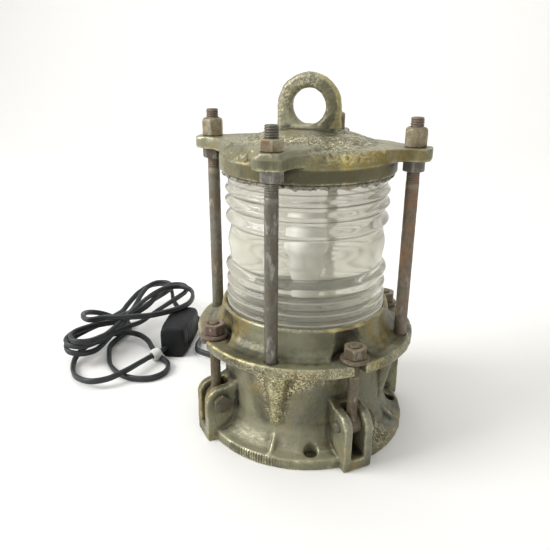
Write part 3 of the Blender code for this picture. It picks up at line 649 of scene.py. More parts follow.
def cast_look():
    """Cast brass under an olive patina, browner in places, bright where it is rubbed or pitted."""
    look = Look("cast_brass", Specular_IOR_Level=0.5)
    broad = look.noise(11, 5, 0.6, distortion=0.8)
    middle = look.noise(48, 6, 0.65)
    fine = look.noise(420, 4, 0.6)
    grain = look.noise(1500, 3, 0.6)
    tint = look.noise(21, 4, 0.6, distortion=1.2)
    cool = look.noise(17, 3, 0.5, stretch=(1, 1, 0.6))
    patina = look.coats(
        look.mix(look.ramp(broad, 0.42, 0.58), (0.072, 0.067, 0.034), (0.240, 0.231, 0.138)),
        (look.ramp(tint, 0.52, 0.64, 0, 0.85), (0.225, 0.165, 0.045)),
        (look.ramp(cool, 0.52, 0.68, 0, 0.6), (0.225, 0.232, 0.190)),
        (look.ramp(middle, 0.56, 0.72, 0, 0.6), (0.275, 0.272, 0.195)),
        (look.ramp(fine, 0.53, 0.70, 0, 0.30), (0.050, 0.045, 0.026)),
        # pale: a paler patina in patches, and painted light on the left side of the eye, towards the window
        (look.marked("pale", 0.7), (0.340, 0.325, 0.225)),
        # shade: painted shading on the right sides of the base and of the eye, away from the window; the
        # cap's skirt band at the front is darkened by it too
        (look.marked("shade", 0.75), (0.062, 0.054, 0.024)),
    )
    wear = look.marked("wear", look.ramp(middle, 0.42, 0.56, 0.04, 1.0))
    wear = look.times(wear, look.ramp(fine, 0.38, 0.58, 0.15, 1.0))
    scribble = look.noise(175, 2, 0.45, distortion=2.2)
    lines = look.math("ABSOLUTE", look.math("SUBTRACT", scribble, 0.5))
    fretted = look.marked("fret", look.ramp(lines, 0.052, 0.026))
    fretted = look.times(fretted, look.ramp(middle, 0.36, 0.50, 0.1, 1.0))
    gilt = look.marked("gold", look.ramp(middle, 0.36, 0.6, 0.25, 1))
    rubbed = look.math("MAXIMUM", wear, fretted)
    shown = look.math("MAXIMUM", rubbed, gilt)
    look.colour(look.coats(
        patina,
        (look.marked("grime", look.ramp(middle, 0.25, 0.65, 0.6, 1.0)), (0.022, 0.019, 0.011)),
        (look.marked("fret", look.ramp(lines, 0.034, 0.080, 0.0, 0.60)), (0.046, 0.038, 0.020)),
        # pocket: painted shadow in the upper part of the collar's scallops
        (look.marked("pocket", 0.88), (0.014, 0.011, 0.012)),
        (look.times(gilt, 0.85), (0.50, 0.40, 0.11)),
        (look.times(rubbed, 0.90), (0.74, 0.69, 0.46)),
    ))
    look.metal(look.ramp(shown, 0, 1, 0.36, 0.90))
    dull = look.ramp(fine, 0.3, 0.7, 0.32, 0.55)
    look.rough(look.math("SUBTRACT", dull, look.times(shown, 0.08)))
    look.bump((middle, 0.0010, 0.45), (fine, 0.0005, 0.60), (grain, 0.00014, 0.45))
    return look


def steel_look(name, base, rust, amount, scuff, metallic=0.7):
    """Old steel: a dull base, with rust in patches and pits, and pale scuffs along it."""
    look = Look(name, Specular_IOR_Level=0.45)
    broad = look.noise(38, 5, 0.65)
    fine = look.noise(330, 5, 0.65)
    grain = look.noise(1300, 3, 0.6)
    patches = look.ramp(broad, 0.56 - 0.22 * amount, 0.66 - 0.16 * amount)
    patches = look.times(patches, look.ramp(fine, 0.3, 0.55, 0.45, 1))
    pale = look.times(look.ramp(look.noise(160, 4, 0.7, stretch=(1, 1, 0.35)), 0.57, 0.66), scuff)
    look.colour(look.coats(
        look.mix(look.ramp(fine, 0.35, 0.7), tuple(c * 0.55 for c in base), base),
        (patches, rust),
        (pale, (0.42, 0.40, 0.36)),
        (look.marked("wear", 0.45), tuple(min(1, c * 2.2) for c in base)),
    ))
    look.metal(look.ramp(patches, 0, 1, metallic, metallic * 0.25))
    look.rough(look.ramp(patches, 0, 1, 0.45, 0.78))
    look.bump((fine, 0.0003, 0.6), (grain, 0.0001, 0.5))
    return look


def plain_look(name, colour, roughness, metallic=0.0, grain=700, depth=0.00008, shine=0.5):
    """A simple surface with a slight mottle and grain."""
    look = Look(name, Metallic=metallic, Specular_IOR_Level=shine)
    mottle = look.noise(90, 4, 0.6)
    look.colour(look.mix(look.ramp(mottle, 0.35, 0.65), tuple(c * 0.8 for c in colour), colour))
    look.rough(look.ramp(mottle, 0.3, 0.7, roughness * 0.85, min(1, roughness * 1.15)))
    look.bump((look.noise(grain, 3, 0.6), depth, 0.4))
    return look


def glass_look():
    """Pressed glass gone hazy with age, with dark lines in its valleys; shadow rays pass through."""
    look = Look("lens_glass", Roughness=0.1, IOR=1.36, Transmission_Weight=1.0)
    look.shader.inputs["Base Color"].default_value = (0.95, 0.94, 0.90, 1)
    smear = look.noise(26, 4, 0.6, stretch=(1, 1, 2.0), distortion=0.6)
    look.rough(look.ramp(smear, 0.35, 0.65, 0.03, 0.12))
    look.bump((look.noise(70, 2, 0.5, stretch=(1, 1, 1.5)), 0.0004, 0.12))
    line = look.attribute("line")
    milk = look.node("ShaderNodeBsdfDiffuse")
    look.link(look.mix(line, (0.75, 0.73, 0.63), (0.13, 0.12, 0.09)), milk.inputs["Color"])
    glow = look.node("ShaderNodeBsdfTranslucent")
    look.link(look.mix(line, (0.80, 0.78, 0.69), (0.26, 0.24, 0.18)), glow.inputs["Color"])
    share = look.math("MAXIMUM", look.ramp(smear, 0.35, 0.65, 0.16, 0.30), look.attribute("milk"))
    body = look.blend(share, look.shader, look.blend(0.55, milk, glow))
    passing = look.node("ShaderNodeBsdfTransparent")
    passing.inputs["Color"].default_value = (0.90, 0.91, 0.90, 1)
    path = look.node("ShaderNodeLightPath")
    mixed = look.blend(path.outputs["Is Shadow Ray"], body, passing)
    look.link(mixed.outputs["Shader"], look.tree.nodes["Material Output"].inputs["Surface"])
    return look


def putty_look():
    """The old packing: black and ragged, with pale putty pressed into it."""
    look = Look("old_packing", Roughness=0.85)
    patches = look.ramp(look.noise(170, 5, 0.7), 0.42, 0.56)
    look.colour(look.mix(patches, (0.030, 0.026, 0.020), (0.33, 0.31, 0.24)))
    look.bump((look.noise(600, 4, 0.7), 0.0005, 0.8))
    return look


CAST = cast_look()
RODS = {
    "left": steel_look("rod_left", (0.200, 0.190, 0.155), (0.150, 0.105, 0.065), 0.45, 0.45),
    "front": steel_look("rod_front", (0.155, 0.145, 0.120), (0.100, 0.078, 0.055), 0.40, 0.60),
    "right": steel_look("rod_right", (0.190, 0.165, 0.130), (0.215, 0.115, 0.058), 0.62, 0.35),
    "back": steel_look("rod_back", (0.190, 0.180, 0.150), (0.150, 0.100, 0.060), 0.50, 0.40),
}
RUST = steel_look("rusty_steel", (0.390, 0.340, 0.225), (0.160, 0.110, 0.062), 0.45, 0.65, 0.55)
BOLT = steel_look("bolt_steel", (0.175, 0.148, 0.098), (0.108, 0.079, 0.045), 0.50, 0.40, 0.45)
DEEP_RUST = steel_look("deep_rust", (0.165, 0.135, 0.105), (0.125, 0.075, 0.056), 0.75, 0.60, 0.35)
ZINC = steel_look("zinc_steel", (0.235, 0.222, 0.200), (0.115, 0.095, 0.070), 0.32, 0.55, 0.7)
PIN = steel_look("pin_steel", (0.150, 0.140, 0.098), (0.090, 0.074, 0.044), 0.40, 0.30, 0.4)
GLASS = glass_look()
PUTTY = putty_look()
RUBBER = plain_look("gasket_rubber", (0.022, 0.021, 0.018), 0.85)
PEARL = plain_look("pearl_glass", (0.90, 0.90, 0.88), 0.30, depth=0.00002)
PHENOLIC = plain_look("holder_plastic", (0.035, 0.034, 0.033), 0.40)
BRASS = plain_look("bright_brass", (0.50, 0.37, 0.15), 0.38, 1.0)
BLUE = plain_look("blue_lead", (0.05, 0.14, 0.42), 0.5)
BROWN = plain_look("brown_lead", (0.20, 0.085, 0.04), 0.5)
BLACK = plain_look("plug_plastic", (0.007, 0.008, 0.009), 0.52, grain=1100, depth=0.00006, shine=0.25)
TIE = plain_look("tie_plastic", (0.72, 0.72, 0.69), 0.45)


# ---------------------------------------------------------------- castings

# Azimuths here are in degrees, and other places in millimetres.
WEDGE_AZIMUTH = -91
FILE_MARKS = 235
FILE_DEPTH = 0.55


def casting(name, meshes, voxel, rounds, layers, share=None):
    """The meshes fused, roughened and marked; share(azimuth, radius, height) scales the roughness."""
    mesh = fused(name, meshes, voxel, rounds)
    rough_up(mesh, layers, share(*polar(mesh)) if share else 1.0)
    return mark_edges(mesh)


def add_base():
    mesh = casting("base_casting", [NODES["base_body"].data.copy()], 1.0 * MM, 8,
                   [(9, 0.45, 1.0), (2.6, 0.22, 1.3), (1.3, 0.12, 1.0)])
    azimuth, radius, height = polar(mesh)
    teeth = np.sin(np.radians(azimuth) * FILE_MARKS)
    cut = np.clip(-teeth * 2, 0, 1) * bell(azimuth, -100, 14, 4) * (radius > 104) * between(height, 1, 10.2)
    points = read(mesh)
    points[:, :2] *= (1 - FILE_DEPTH * cut / np.maximum(radius, 50))[:, None]
    points[:, 2] = np.maximum(points[:, 2], 0)
    write(mesh, points)
    wedge = np.interp(height, [33, 38, 50, 66, 76, 84], [1.5, 3.5, 6.0, 8.0, 12.0, 18.0])
    wedge *= 1 + 0.9 * (azimuth > WEDGE_AZIMUTH) * np.clip((height - 68) / 10, 0, 1)
    front = bell(azimuth, WEDGE_AZIMUTH, wedge, 2.6) * (height > 32) * (radius > 80)
    stripe = bell(azimuth, WEDGE_AZIMUTH - 0.5, 1.5) * between(height, 44, 84) * (radius > 80)
    pitted = 0.8 * bell(azimuth, -22, 8) * (radius > 86) * (height < 34)
    filed = (teeth > -0.1) * bell(azimuth, -100, 16) * (radius > 104) * (height < 12)
    foot = 0.95 * bell(azimuth, -92, 42, 4) * np.clip((36 - height) / 8, 0, 1) * (height > 9.5)
    streaks = 0.45 * bell(azimuth, -118, 9) + 0.55 * bell(azimuth, WEDGE_AZIMUTH, wedge + 3)
    # Painted shading: the body's right side, away from the window, and a strip towards its left edge are
    # darkened.
    shaded = np.maximum(0.85 * bell(azimuth, -42, 30), 0.55 * bell(azimuth, -140, 12))
    mark(mesh, fret=np.maximum(1.9 * front, pitted), gold=0.35 * front,
         pale=np.maximum(foot, streaks * (height > 13)), shade=shaded * (radius < 95) * (height > 14),
         wear=np.maximum.reduce([read_mark(mesh, "wear"), 1.2 * filed, stripe]) * (1 - cut),
         grime=np.maximum(read_mark(mesh, "grime") * (1 - 0.6 * foot), 0.9 * cut))
    place("base_casting", mesh, CAST, "base_body")


def add_flange():
    mesh = casting("flange_casting", [NODES["upper_flange"].data.copy()], 1.0 * MM, 4,
                   [(8, 0.35, 1.0), (2.4, 0.18, 1.3), (1.3, 0.10, 1.0)])
    azimuth, radius, height = polar(mesh)
    rim = (radius > 108) * (0.30 + 0.70 * bell(azimuth, -70, 45))
    collar = 0.50 * bell(azimuth, -78, 26) * (height > 112)
    left_top = 0.6 * bell(azimuth, -140, 28) * between(radius, 92, 109)
    seat = (np.abs(azimuth + 45) < 14) * (height > 132.5)
    left_edge = bell(azimuth, -125, 25) * (radius > 107.5) * (height > 107)
    right_edge = 0.35 * bell(azimuth, -38, 16) * (radius > 108)
    # Painted shadow: the upper part of each swing nut's scallop in the collar is darkened, fading out
    # downwards.
    deep = 0.8 * np.clip((height - 120.5) / 6, 0, 1) * (height < 132.5)
    pocket = np.zeros(len(azimuth))
    for angle in SWING_SITES.values():
        u = radius * np.cos(np.radians(azimuth - angle))
        v = radius * np.sin(np.radians(azimuth - angle))
        scallop = ((u - BOLT_CIRCLE / MM) / 17.8) ** 2 + (v / 24.5) ** 2 < 1
        pocket = np.maximum(pocket, scallop * (u < 92.5) * deep)
    mark(mesh, fret=0.62 * rim, pale=np.maximum(collar, left_top), pocket=pocket,
         gold=np.maximum.reduce([seat * 1.0, left_edge, right_edge]))
    place("flange_casting", mesh, CAST, "upper_flange")


LUG_LOW, LUG_TOP = 280.8 * MM, 292.0 * MM
FRONT_LUG_LOW, FRONT_LUG_SIDE, FRONT_LUG_TOP = 282.8 * MM, 293.5 * MM, 297.0 * MM
LUG_REACH = 114 * MM
CAP_RADIUS = 84 * MM
# The cap's underside from its skirt inwards, as (radius, height).
CAP_UNDERSIDE = in_mm([(83.9, 279), (83.6, 267), (80.5, 267), (80.5, 271.2), (72, 271.2), (72, 278.5),
                       (55, 285), (0.5, 292)])
EYE_HEIGHT = 323.4 * MM
EYE_MIDDLE = 23.1 * MM


def dome_height(radius):
    return np.interp(radius / MM, [0, 20, 36, 50, 62, 72, 78, 82.5, 84],
                     [303.5, 302.7, 299.9, 296.4, 292.5, 289.4, 287.0, 283.5, 279.5]) * MM


def lug_half(u):
    """Half of a lug's width at a distance from the axis: it flares as it runs into the dome."""
    return np.interp(u / MM, [30, 60, 70, 77, 84, 92, 100, 106, 110, 112.6, 114],
                     [37, 37, 33, 28.5, 21.5, 16, 14.1, 14, 13, 10.6, 6]) * MM


def cap_mesh():
    """The cap's dome and its four lugs, line by line round the axis."""
    azimuths = np.radians(np.arange(0, 360, 0.25))
    nearest = (azimuths + math.pi / 4) % (math.pi / 2) - math.pi / 4
    reach = np.arange(60, LUG_REACH / MM + 0.01, 0.25) * MM
    rings = []
    for azimuth, lean in zip(azimuths, nearest):
        front = abs(azimuth - math.radians(270)) < math.pi / 4
        low, high = (FRONT_LUG_LOW, FRONT_LUG_TOP) if front else (LUG_LOW, LUG_TOP)
        u, v = reach * math.cos(lean), np.abs(reach * math.sin(lean))
        inside = reach[(v <= lug_half(u)) & (u <= LUG_REACH)]
        edge = max(CAP_RADIUS, inside.max() if len(inside) else 0)
        on_rim = edge <= CAP_RADIUS + 0.5 * MM
        r = np.concatenate([np.linspace(0.5 * MM, edge - 0.2 * MM, 40), [edge]])
        u, v = r * math.cos(lean), np.abs(r * math.sin(lean))
        soft = np.interp(u / MM, [40, 60, 80, 95], [16, 8, 3, 1.2]) * MM
        share = np.clip((lug_half(u) - v) / soft + 0.5, 0, 1)
        share = share**2 * (3 - 2 * share) * np.clip((u - 44 * MM) / (14 * MM), 0, 1)
        dome = dome_height(np.minimum(r, CAP_RADIUS))
        if front:
            ledge = np.clip((lug_half(u) * 0.80 - v) / (1.6 * MM) + 0.5, 0, 1)
            high = FRONT_LUG_SIDE + (FRONT_LUG_TOP - FRONT_LUG_SIDE) * ledge
        top = np.maximum(dome, dome + (high - dome) * share)
        if on_rim:
            top[-1] = min(top[-1], 284 * MM)
        under = [(edge, 281 * MM if on_rim else low), (CAP_RADIUS, low - 1.5 * MM)]
        line = [*zip(r, top), *under, *CAP_UNDERSIDE]
        rings.append([(d * math.cos(azimuth), d * math.sin(azimuth), z) for d, z in line])
    return from_grid("cap_dome", rings, loop=True)


def rounded(half_x, half_y, squareness_x, squareness_y, steps):
    """A rounded oblong as (x, y) points, in the units of its half widths."""
    return [
        (half_x * math.copysign(abs(math.cos(a)) ** squareness_x, math.cos(a)),
         half_y * math.copysign(abs(math.sin(a)) ** squareness_y, math.sin(a)))
        for a in (math.tau * k / steps for k in range(steps))
    ]


def eye_meshes():
    """The eye's ring, its two legs and its flared foot, to be fused."""
    section = rounded(6.9 * MM, 7.4 * MM, 0.72, 0.72, 24)
    ring = [
        [((EYE_MIDDLE + u) * math.cos(a), v, EYE_HEIGHT + (EYE_MIDDLE + u) * math.sin(a)) for u, v in section]
        for a in (math.tau * k / 72 for k in range(72))
    ]
    made = [from_grid("eye_ring", ring, loop=True)]
    for side in (-1, 1):
        leg = [[(side * EYE_MIDDLE + u, v * 1.02, z * MM) for u, v in section] for z in (296, 304, 312, 323)]
        made.append(from_grid("eye_leg", leg))
    levels = ((290, 39, 14), (298, 37, 12.5), (301, 34, 10.4), (304, 31.6, 8.6), (307.2, 30.0, 7.4))
    foot = [[(x, y, z * MM) for x, y in rounded(a * MM, b * MM, 0.55, 0.7, 48)] for z, a, b in levels]
    return [*made, from_grid("eye_foot", foot)]


def bored_cap():
    """The cap's dome with the rods' holes through its lugs."""
    dome = bpy.data.objects.new("cap_dome", cap_mesh())
    drills = []
    for angle in ROD_SITES.values():
        drill = turned("drill", in_mm([(0, 270), (6.6, 270), (6.6, 310), (0, 310)]), 32)
        drill.transform(around(angle))
        drills.append(drill)
    cutter = bpy.data.objects.new("cap_drills", joined("cap_drills", drills))
    put(dome)
    put(cutter)
    dome.modifiers.new("holes", "BOOLEAN").object = cutter
    bored = applied(dome)
    for item in (dome, cutter):
        bpy.data.objects.remove(item, do_unlink=True)
    return bored


def cap_wrinkles(azimuth, radius, height):
    """How rough the cap is: most on the band round the eye, its front edge and its left edge."""
    band = bell(radius, 47, 17)
    ridge = bell(radius, 76, 9) * bell(azimuth, -50, 24)
    left = bell(radius, 80, 10) * bell(azimuth, -122, 20)
    return 0.45 + 0.55 * (height > 310) + between(height, 283, 310) * (2.2 * band + 3.2 * ridge + 2.8 * left)


def add_cap():
    mesh = casting("cap_casting", [bored_cap(), *eye_meshes()], 0.9 * MM, 4,
                   [(7, 0.45, 1.0), (2.8, 0.35, 1.2), (1.4, 0.14, 1.0)], cap_wrinkles)
    azimuth, radius, height = polar(mesh)
    x = read(mesh)[:, 0] / MM
    from_eye = np.hypot(x, height - EYE_HEIGHT / MM)
    ridge = between(height, 279, 291) * bell(radius, 79, 8) * bell(azimuth, -50, 22)
    side = 0.75 * (height > 305) * (x > 8) * np.clip((from_eye - 27.8) / 1.4, 0, 1)
    # Painted light: the eye's left side, towards the window, is made paler.
    painted_light_left = (height > 306) * np.clip(0.5 - x / 30, 0, 1)
    speckle = (height > 305) * np.clip(0.30 - x / 30 + (height - 335) / 30, 0.05, 0.6)
    top = 0.95 * bell(radius, 50, 22) * between(height, 285, 305)
    # Painted shading: the eye's right side is darkened, and the skirt band at the front with it.
    skirt = bell(azimuth, -70, 60, 4) * (height < 279.5) * (radius > 82)
    painted_shade_right = (height > 300) * (side == 0) * np.clip(0.2 + x / 25, 0, 0.8)
    mark(mesh, fret=np.maximum(speckle, top), gold=np.maximum(0.8 * ridge, side),
         pale=np.maximum(painted_light_left, 0.6 * between(height, 291.5, 306)), shade=np.maximum(skirt, painted_shade_right))
    place("cap_casting", mesh, CAST, "cap")


# ---------------------------------------------------------------- glass, packing and lamp

# The lens's crests and valleys from the top down, in millimetres: (radius, height).
LENS_RIBS = [
    (76.2, 268.0), (76.2, 254.0), (79.0, 249.6), (75.5, 243.6), (79.4, 238.0), (75.3, 230.6), (79.0, 221.6),
    (74.3, 214.6), (77.0, 198.0), (75.0, 180.1), (79.6, 172.7), (76.7, 163.6), (79.1, 158.3),
    (77.6, 151.3), (79.3, 146.3), (78.0, 141.0), (79.4, 136.5), (78.2, 132.0), (79.2, 126.0), (79.2, 121.6),
]


def add_lens():
    outside = []
    for (r0, z0), (r1, z1) in zip(LENS_RIBS, LENS_RIBS[1:]):
        for t in np.arange(14) / 14:
            bend = (0.5 - 0.5 * math.cos(math.pi * t)) ** (1.25 if r1 > r0 else 0.8)
            outside.append((r0 + (r1 - r0) * bend, z0 + (z1 - z0) * t))
    outside.append(LENS_RIBS[-1])
    inside = [(70.0 + 0.12 * math.sin(z * 0.11), z) for z in np.linspace(121.6, 268.0, 60)]
    mesh = turned("lens_ribbed", in_mm([*outside, *inside]), 200)
    azimuth, radius, height = polar(mesh)
    outer = radius > 73
    low = np.clip((155 - height) / 25, 0, 1)
    valley = outer * np.clip((77.2 - radius) / 2.5, 0, 1) * (np.abs(height - 197) > 18)
    haze = (0.42 - 0.24 * bell(azimuth, -72, 24)) * bell(height, 196, 17, 4)
    line, crest = np.zeros(len(height)), np.zeros(len(height))
    for reach, level in LENS_RIBS[1:-2]:
        if reach < 78.3 and abs(level - 198) > 2:
            line = np.maximum(line, outer * bell(height, level + (2.8 if level > 200 else 0), 0.75))
        elif reach > 78.3 and level < 172:
            crest = np.maximum(crest, outer * bell(height, level + 0.8, 1.1))
    milk = np.maximum.reduce([0.08 * low + 0.10 * valley + haze, 0.85 * line, 0.70 * crest])
    mark(mesh, line=line, milk=milk)
    place("lens_ribbed", mesh, GLASS, "lens")


def add_packing(steps=420, rows=14):
    """The cap's packing: a squeezed-out ring with a torn lower edge."""
    middle, half, low, high = 78.6 * MM, 3.0 * MM, 262.6 * MM, 266.9 * MM
    rings = []
    for a in all_round(steps):
        spot = Vector((math.cos(a), math.sin(a), 0))
        tear = noise.fractal(spot * 9, 0.6, 2.0, 4) * 2.2 * MM
        swell = noise.fractal(spot * 14 + Vector((3, 1, 7)), 0.6, 2.0, 3) * 0.9 * MM
        bottom = low + min(tear, high - low - 0.6 * MM)
        line = []
        for t in all_round(rows):
            r = middle + half * math.cos(t) + swell * max(0, math.cos(t)) * (0.6 - 0.5 * math.sin(t))
            z = (high + bottom) / 2 + (high - bottom) / 2 * math.sin(t)
            line.append((r * math.cos(a), r * math.sin(a), z))
        rings.append(line)
    mesh = rough_up(from_grid("cap_packing", rings, loop=True), [(2.5, 0.5, 1.0), (1.1, 0.25, 1.0)])
    place("cap_packing", mesh, PUTTY, "cap_gasket")


def add_bulb():
    centre, radius = 185.5, 22.5
    globe = [(0, centre + radius)]
    for a in np.radians(np.arange(85, -41, -5)):
        globe.append((radius * math.cos(a), centre + radius * math.sin(a)))
    neck = [(16.3, 164.5), (14.9, 160.5), (13.9, 156.0), (13.2, 150.0), (12.8, 143.3), (0, 143.3)]
    mesh = turned("bulb_pearl", in_mm([*globe, *neck]), 72)
    place("bulb_pearl", mesh, PEARL, "bulb_glass")


# ---------------------------------------------------------------- rods, nuts and swing bolts

ROD_RADIUS = 6 * MM
ROD_TOP = 317.5 * MM
ROD_PITCH = 2.1 * MM
ROD_NUT_CORNER = 10.95 * MM
ROD_NUT_BORE = 6.3 * MM
NUT_GAP = 0.3 * MM
WASHER_LOW = 110.0 * MM
SWING_RADIUS = 5 * MM
SWING_BORE = 5.35 * MM
SWING_NUT_LOW = WASHER_LOW + 3.3 * MM
SWING_NUT_HIGH = SWING_NUT_LOW + 10 * MM
SWING_END = SWING_NUT_HIGH + 1.5 * MM
PIN_EAR = 15.1 * MM


def weathered(mesh, size=1.4, height=0.10):
    rough_up(mesh, [(size * 3, height * 1.2, 1.0), (size, height, 1.2)])
    return mark_edges(mesh, 0.5)


def shank(name, radius, low, high, steps=40):
    """A plain length of rod with points close enough together to be pitted."""
    levels = np.linspace(low, high, round((high - low) / (2 * MM)))
    return from_grid(name, [hoop(radius, z, all_round(steps)) for z in levels])


def spun(mesh, angle, twist):
    """Moves a piece that was made on the Z axis to the bolt circle, with its flats turned by the twist."""
    mesh.transform(around(angle) @ Matrix.Rotation(math.radians(twist), 4, "Z"))
    return mesh


def add_rods():
    for site, angle in ROD_SITES.items():
        top = thread("rod_top", ROD_RADIUS, 294.5 * MM, ROD_TOP, ROD_PITCH, 0.75 * MM)
        collar = thread("rod_collar", 5.95 * MM, 260 * MM, 294.4 * MM, ROD_PITCH, 0.45 * MM, top_chamfer=0)
        stem = shank("rod_stem", ROD_RADIUS, 98.6 * MM, 260.2 * MM)
        mesh = joined("rod_" + site, [top, collar, stem])
        mesh.transform(around(angle))
        place("rod_" + site, weathered(mesh, 1.6, 0.12), RODS[site], "tie_rod_" + site)
        if site == "front":
            lug_low, lug_top, height, dome, rows = FRONT_LUG_LOW, FRONT_LUG_TOP, 9.6 * MM, 0, 26
        else:
            lug_low, lug_top, height, dome, rows = LUG_LOW, LUG_TOP, 17 * MM, 6.2 * MM, 34
        nut = hex_piece("cap_nut_" + site, ROD_NUT_CORNER, lug_top + NUT_GAP, lug_top + height + NUT_GAP,
                        ROD_NUT_BORE, dome=dome, rows=rows)
        nut = weathered(spun(nut, angle, 11 + angle * 0.37))
        place("cap_nut_" + site, nut, RUST, "top_nut_" + site)
        lower = hex_piece("jam_nut_" + site, ROD_NUT_CORNER, lug_low - 10.1 * MM, lug_low - NUT_GAP,
                          ROD_NUT_BORE, (0.62, 0.62))
        lower = weathered(spun(lower, angle, 4 + angle * 0.2))
        place("jam_nut_" + site, lower, ZINC, "lower_nut_" + site)


def add_swing_bolts():
    outline = in_mm([(5.3, 6.1), (9.6, 6.1), (9.6, -6.1), (5.3, -6.1)])
    eye = turned("eye", softened(outline, 1.6 * MM), 48)
    eye.transform(Matrix.Rotation(math.pi / 2, 4, "X"))
    neck = in_mm([(0, 6), (6.4, 6), (6.0, 10), (5.1, 13.5), (5, 20), (5, 50.2), (0, 50.2)])
    body = fused("bolt", [eye, turned("neck", neck, 36)], 0.55 * MM, 3)
    rim = softened(in_mm([(5.35, 3), (12.4, 3), (13.5, 1.6), (13.6, 0), (5.35, 0)]), 0.8 * MM)
    for site, angle in SWING_SITES.items():
        look = DEEP_RUST if site == "front_left" else BOLT
        spot = around(angle, BOLT_CIRCLE, PIN_HEIGHT)
        end = thread("end", SWING_RADIUS, 50 * MM, SWING_END - PIN_HEIGHT, 1.7 * MM, 0.6 * MM, steps=36)
        mesh = joined("swing_" + site, [body, end])
        mesh.transform(spot)
        washer = turned("washer", rim, 64)
        washer.transform(around(angle, BOLT_CIRCLE, WASHER_LOW))
        nut = hex_piece("nut", 11.5 * MM, SWING_NUT_LOW, SWING_NUT_HIGH, SWING_BORE, (0.9, 0.75))
        for name, made, look_here, node in (
            ("swing_", weathered(mesh), BOLT, "swing_bolt_"),
            ("washer_", weathered(washer, 1.8, 0.07), look, "swing_washer_"),
            ("nut_", weathered(spun(nut, angle, 17 + angle * 0.13)), look, "swing_nut_"),
        ):
            place(name + site, made, look_here, node + site, node + site)
        add_hinge_pin(site, spot)


def add_hinge_pin(site, spot):
    low, high = -PIN_EAR - 3 * MM, PIN_EAR + 0.6 * MM
    outline = [(0, low), (4.0 * MM, low), (5 * MM, low + 1 * MM), (5 * MM, high), (0, high)]
    stem = turned("stem", softened(outline, 0.3 * MM), 40)
    head = hex_piece("head", 9.8 * MM, PIN_EAR + 0.3 * MM, PIN_EAR + 6.6 * MM, 0.0, (3.0, 0.8), rows=18)
    mesh = joined("pin_" + site, [stem, head])
    mesh.transform(spot @ Matrix.Rotation(-math.pi / 2, 4, "X"))
    place("pin_" + site, weathered(mesh), PIN, "hinge_pin_" + site)


# ---------------------------------------------------------------- plug, tie and the carried-over nodes

def rounding(t, length, drop):
    """An end's shrinkage: 1 - drop at t = 0, rising on a quarter round to 1 at t = length."""
    return math.sqrt(1 - (1 - min(1, t / length)) ** 2) * drop + 1 - drop


def add_plug():
    """A moulded plug: a little narrower where the cord enters, with grip ribs along its sides."""
    half_high = PLUG_SIZE.z / 2 - 0.3 * MM
    rows = []
    for t in np.linspace(0, 1, 75):
        swell = min(1, 0.86 + 0.14 * math.sin(min(1, t / 0.35) * math.pi / 2))
        ends = rounding(t, 0.05, 0.22) * rounding(1 - t, 0.035, 0.12)
        half_x = PLUG_SIZE.x / 2 * swell * ends
        half_z = half_high * (0.80 + 0.20 * swell) * ends
        middle = PLUG_SIZE.z / 2 + 0.15 * MM - (half_high - half_z)
        grip = 0.5 * MM * (math.sin(t * 75) > 0.2) * (0.16 < t < 0.5)
        row = []
        for a in all_round(56):
            side = half_x - grip * (abs(math.cos(a)) > 0.8)
            row.append((side * math.copysign(abs(math.cos(a)) ** 0.38, math.cos(a)), PLUG_SIZE.y * (t - 0.5),
                        middle + half_z * math.copysign(abs(math.sin(a)) ** 0.38, math.sin(a))))
        rows.append(row)
    mesh = from_grid("plug_moulded", rows)
    mesh.transform(Matrix.Translation(PLUG_CENTRE) @ Matrix.Rotation(PLUG_TURN, 4, "Z"))
    return place("plug_moulded", mesh, BLACK, "plug_body")


def add_tie(spot, way):
    """The pale round clip on the cord."""
    outline = softened(in_mm([(4.0, 6.0), (6.9, 6.0), (7.4, 0), (6.9, -6.0), (4.0, -6.0)]), 1.6 * MM)
    mesh = turned("tie_clip", outline, 48)
    mesh.transform(Matrix.Translation(spot) @ way.to_track_quat("Z", "Y").to_matrix().to_4x4())
    return place("tie_clip", mesh, TIE, "cord_tie")


def dress_nodes():
    """Better materials and rounded edges on the CAD nodes that stay."""
    brass = ("lamp_bracket", "bracket_screw_left", "bracket_screw_right", "lampholder_nut", "bulb_cap",
             "gland_body", "gland_nut", "plug_pin_line", "plug_pin_neutral")
    looks = {
        **dict.fromkeys(brass, BRASS), "lampholder": PHENOLIC, "lampholder_ring": PHENOLIC,
        "inner_lead_blue": BLUE, "inner_lead_brown": BROWN, "body_gasket": RUBBER, "lens_gasket": RUBBER,
    }
    for name, look in looks.items():
        node = NODES[name]
        for slot in node.material_slots:
            slot.material = look.material
        edge = node.modifiers.new("edges", "BEVEL")
        edge.width = 0.35 * MM
        edge.segments = 2
        edge.limit_method = "ANGLE"
        edge.angle_limit = math.radians(40)


# ---------------------------------------------------------------- studio

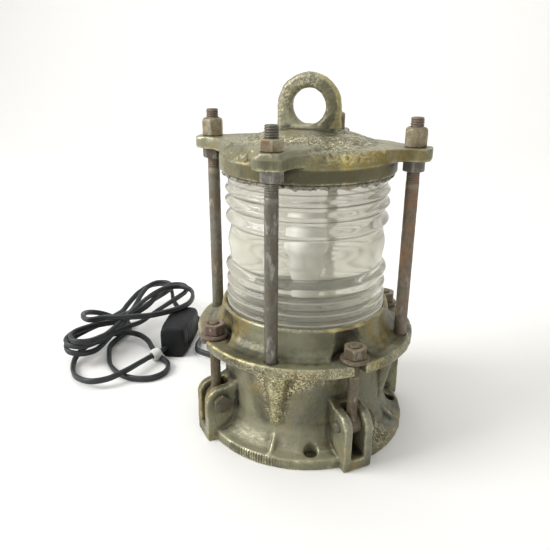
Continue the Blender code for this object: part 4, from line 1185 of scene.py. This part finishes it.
def add_studio():
    """A sheet of paper that curves up behind the lantern, and the lamps."""
    start, bend = 1.6, 1.2
    curve = [(start + bend * math.sin(a), bend * (1 - math.cos(a))) for a in np.linspace(0, math.pi / 2, 25)]
    rows = [(-2.5, 0.0), *curve, (start + bend, 4.0)]
    mesh = bpy.data.meshes.new("studio_floor")
    mesh.from_pydata([(x, y, z) for y, z in rows for x in (-5.0, 5.0)], [],
                     [(k, k + 1, k + 3, k + 2) for k in range(0, 2 * len(rows) - 2, 2)])
    mesh.shade_smooth()
    floor = bpy.data.objects.new("studio_floor", mesh)
    floor.rotation_euler = (0, 0, CAMERA_HEADING - math.pi / 2)
    put(floor)
    look = Look("studio_paper", Roughness=0.9)
    look.shader.inputs["Base Color"].default_value = (0.88, 0.875, 0.855, 1)
    mesh.materials.append(look.material)

    world = bpy.data.worlds.new("studio")
    world.use_nodes = True
    sky = world.node_tree.nodes["Background"].inputs
    sky["Color"].default_value = (1.0, 0.995, 0.97, 1)
    sky["Strength"].default_value = 0.52
    bpy.context.scene.world = world
    bpy.context.scene.view_settings.view_transform = "Standard"

    def lamp(name, spot, size, power, colour=(1, 1, 1), aim=(-0.05, 0.0, 0.15)):
        data = bpy.data.lights.new(name, "AREA")
        data.shape = "RECTANGLE"
        data.size, data.size_y = size
        data.energy = power
        data.color = colour
        item = bpy.data.objects.new(name, data)
        put(item)
        item.matrix_world = (
            Matrix.Translation(spot)
            @ (Vector(aim) - Vector(spot)).to_track_quat("-Z", "Y").to_matrix().to_4x4()
        )

    lamp("window", (-1.5, -0.9, 1.25), (1.1, 1.1), 38, (0.98, 0.99, 1.0))
    lamp("ceiling", (-0.1, -0.2, 2.3), (2.0, 2.0), 12, (1.0, 0.99, 0.97))
    lamp("fill", (1.7, -0.3, 0.7), (1.2, 1.2), 3, (1.0, 0.98, 0.94))
    lamp("backdrop_wash", (0.1, 1.1, 2.3), (3.0, 0.8), 27, (1.0, 1.0, 1.0), (-0.5, 2.6, 0.9))


add_camera()
add_studio()
dress_nodes()
add_base()
add_flange()
add_cap()
add_lens()
add_packing()
add_bulb()
add_rods()
add_swing_bolts()
add_cord()
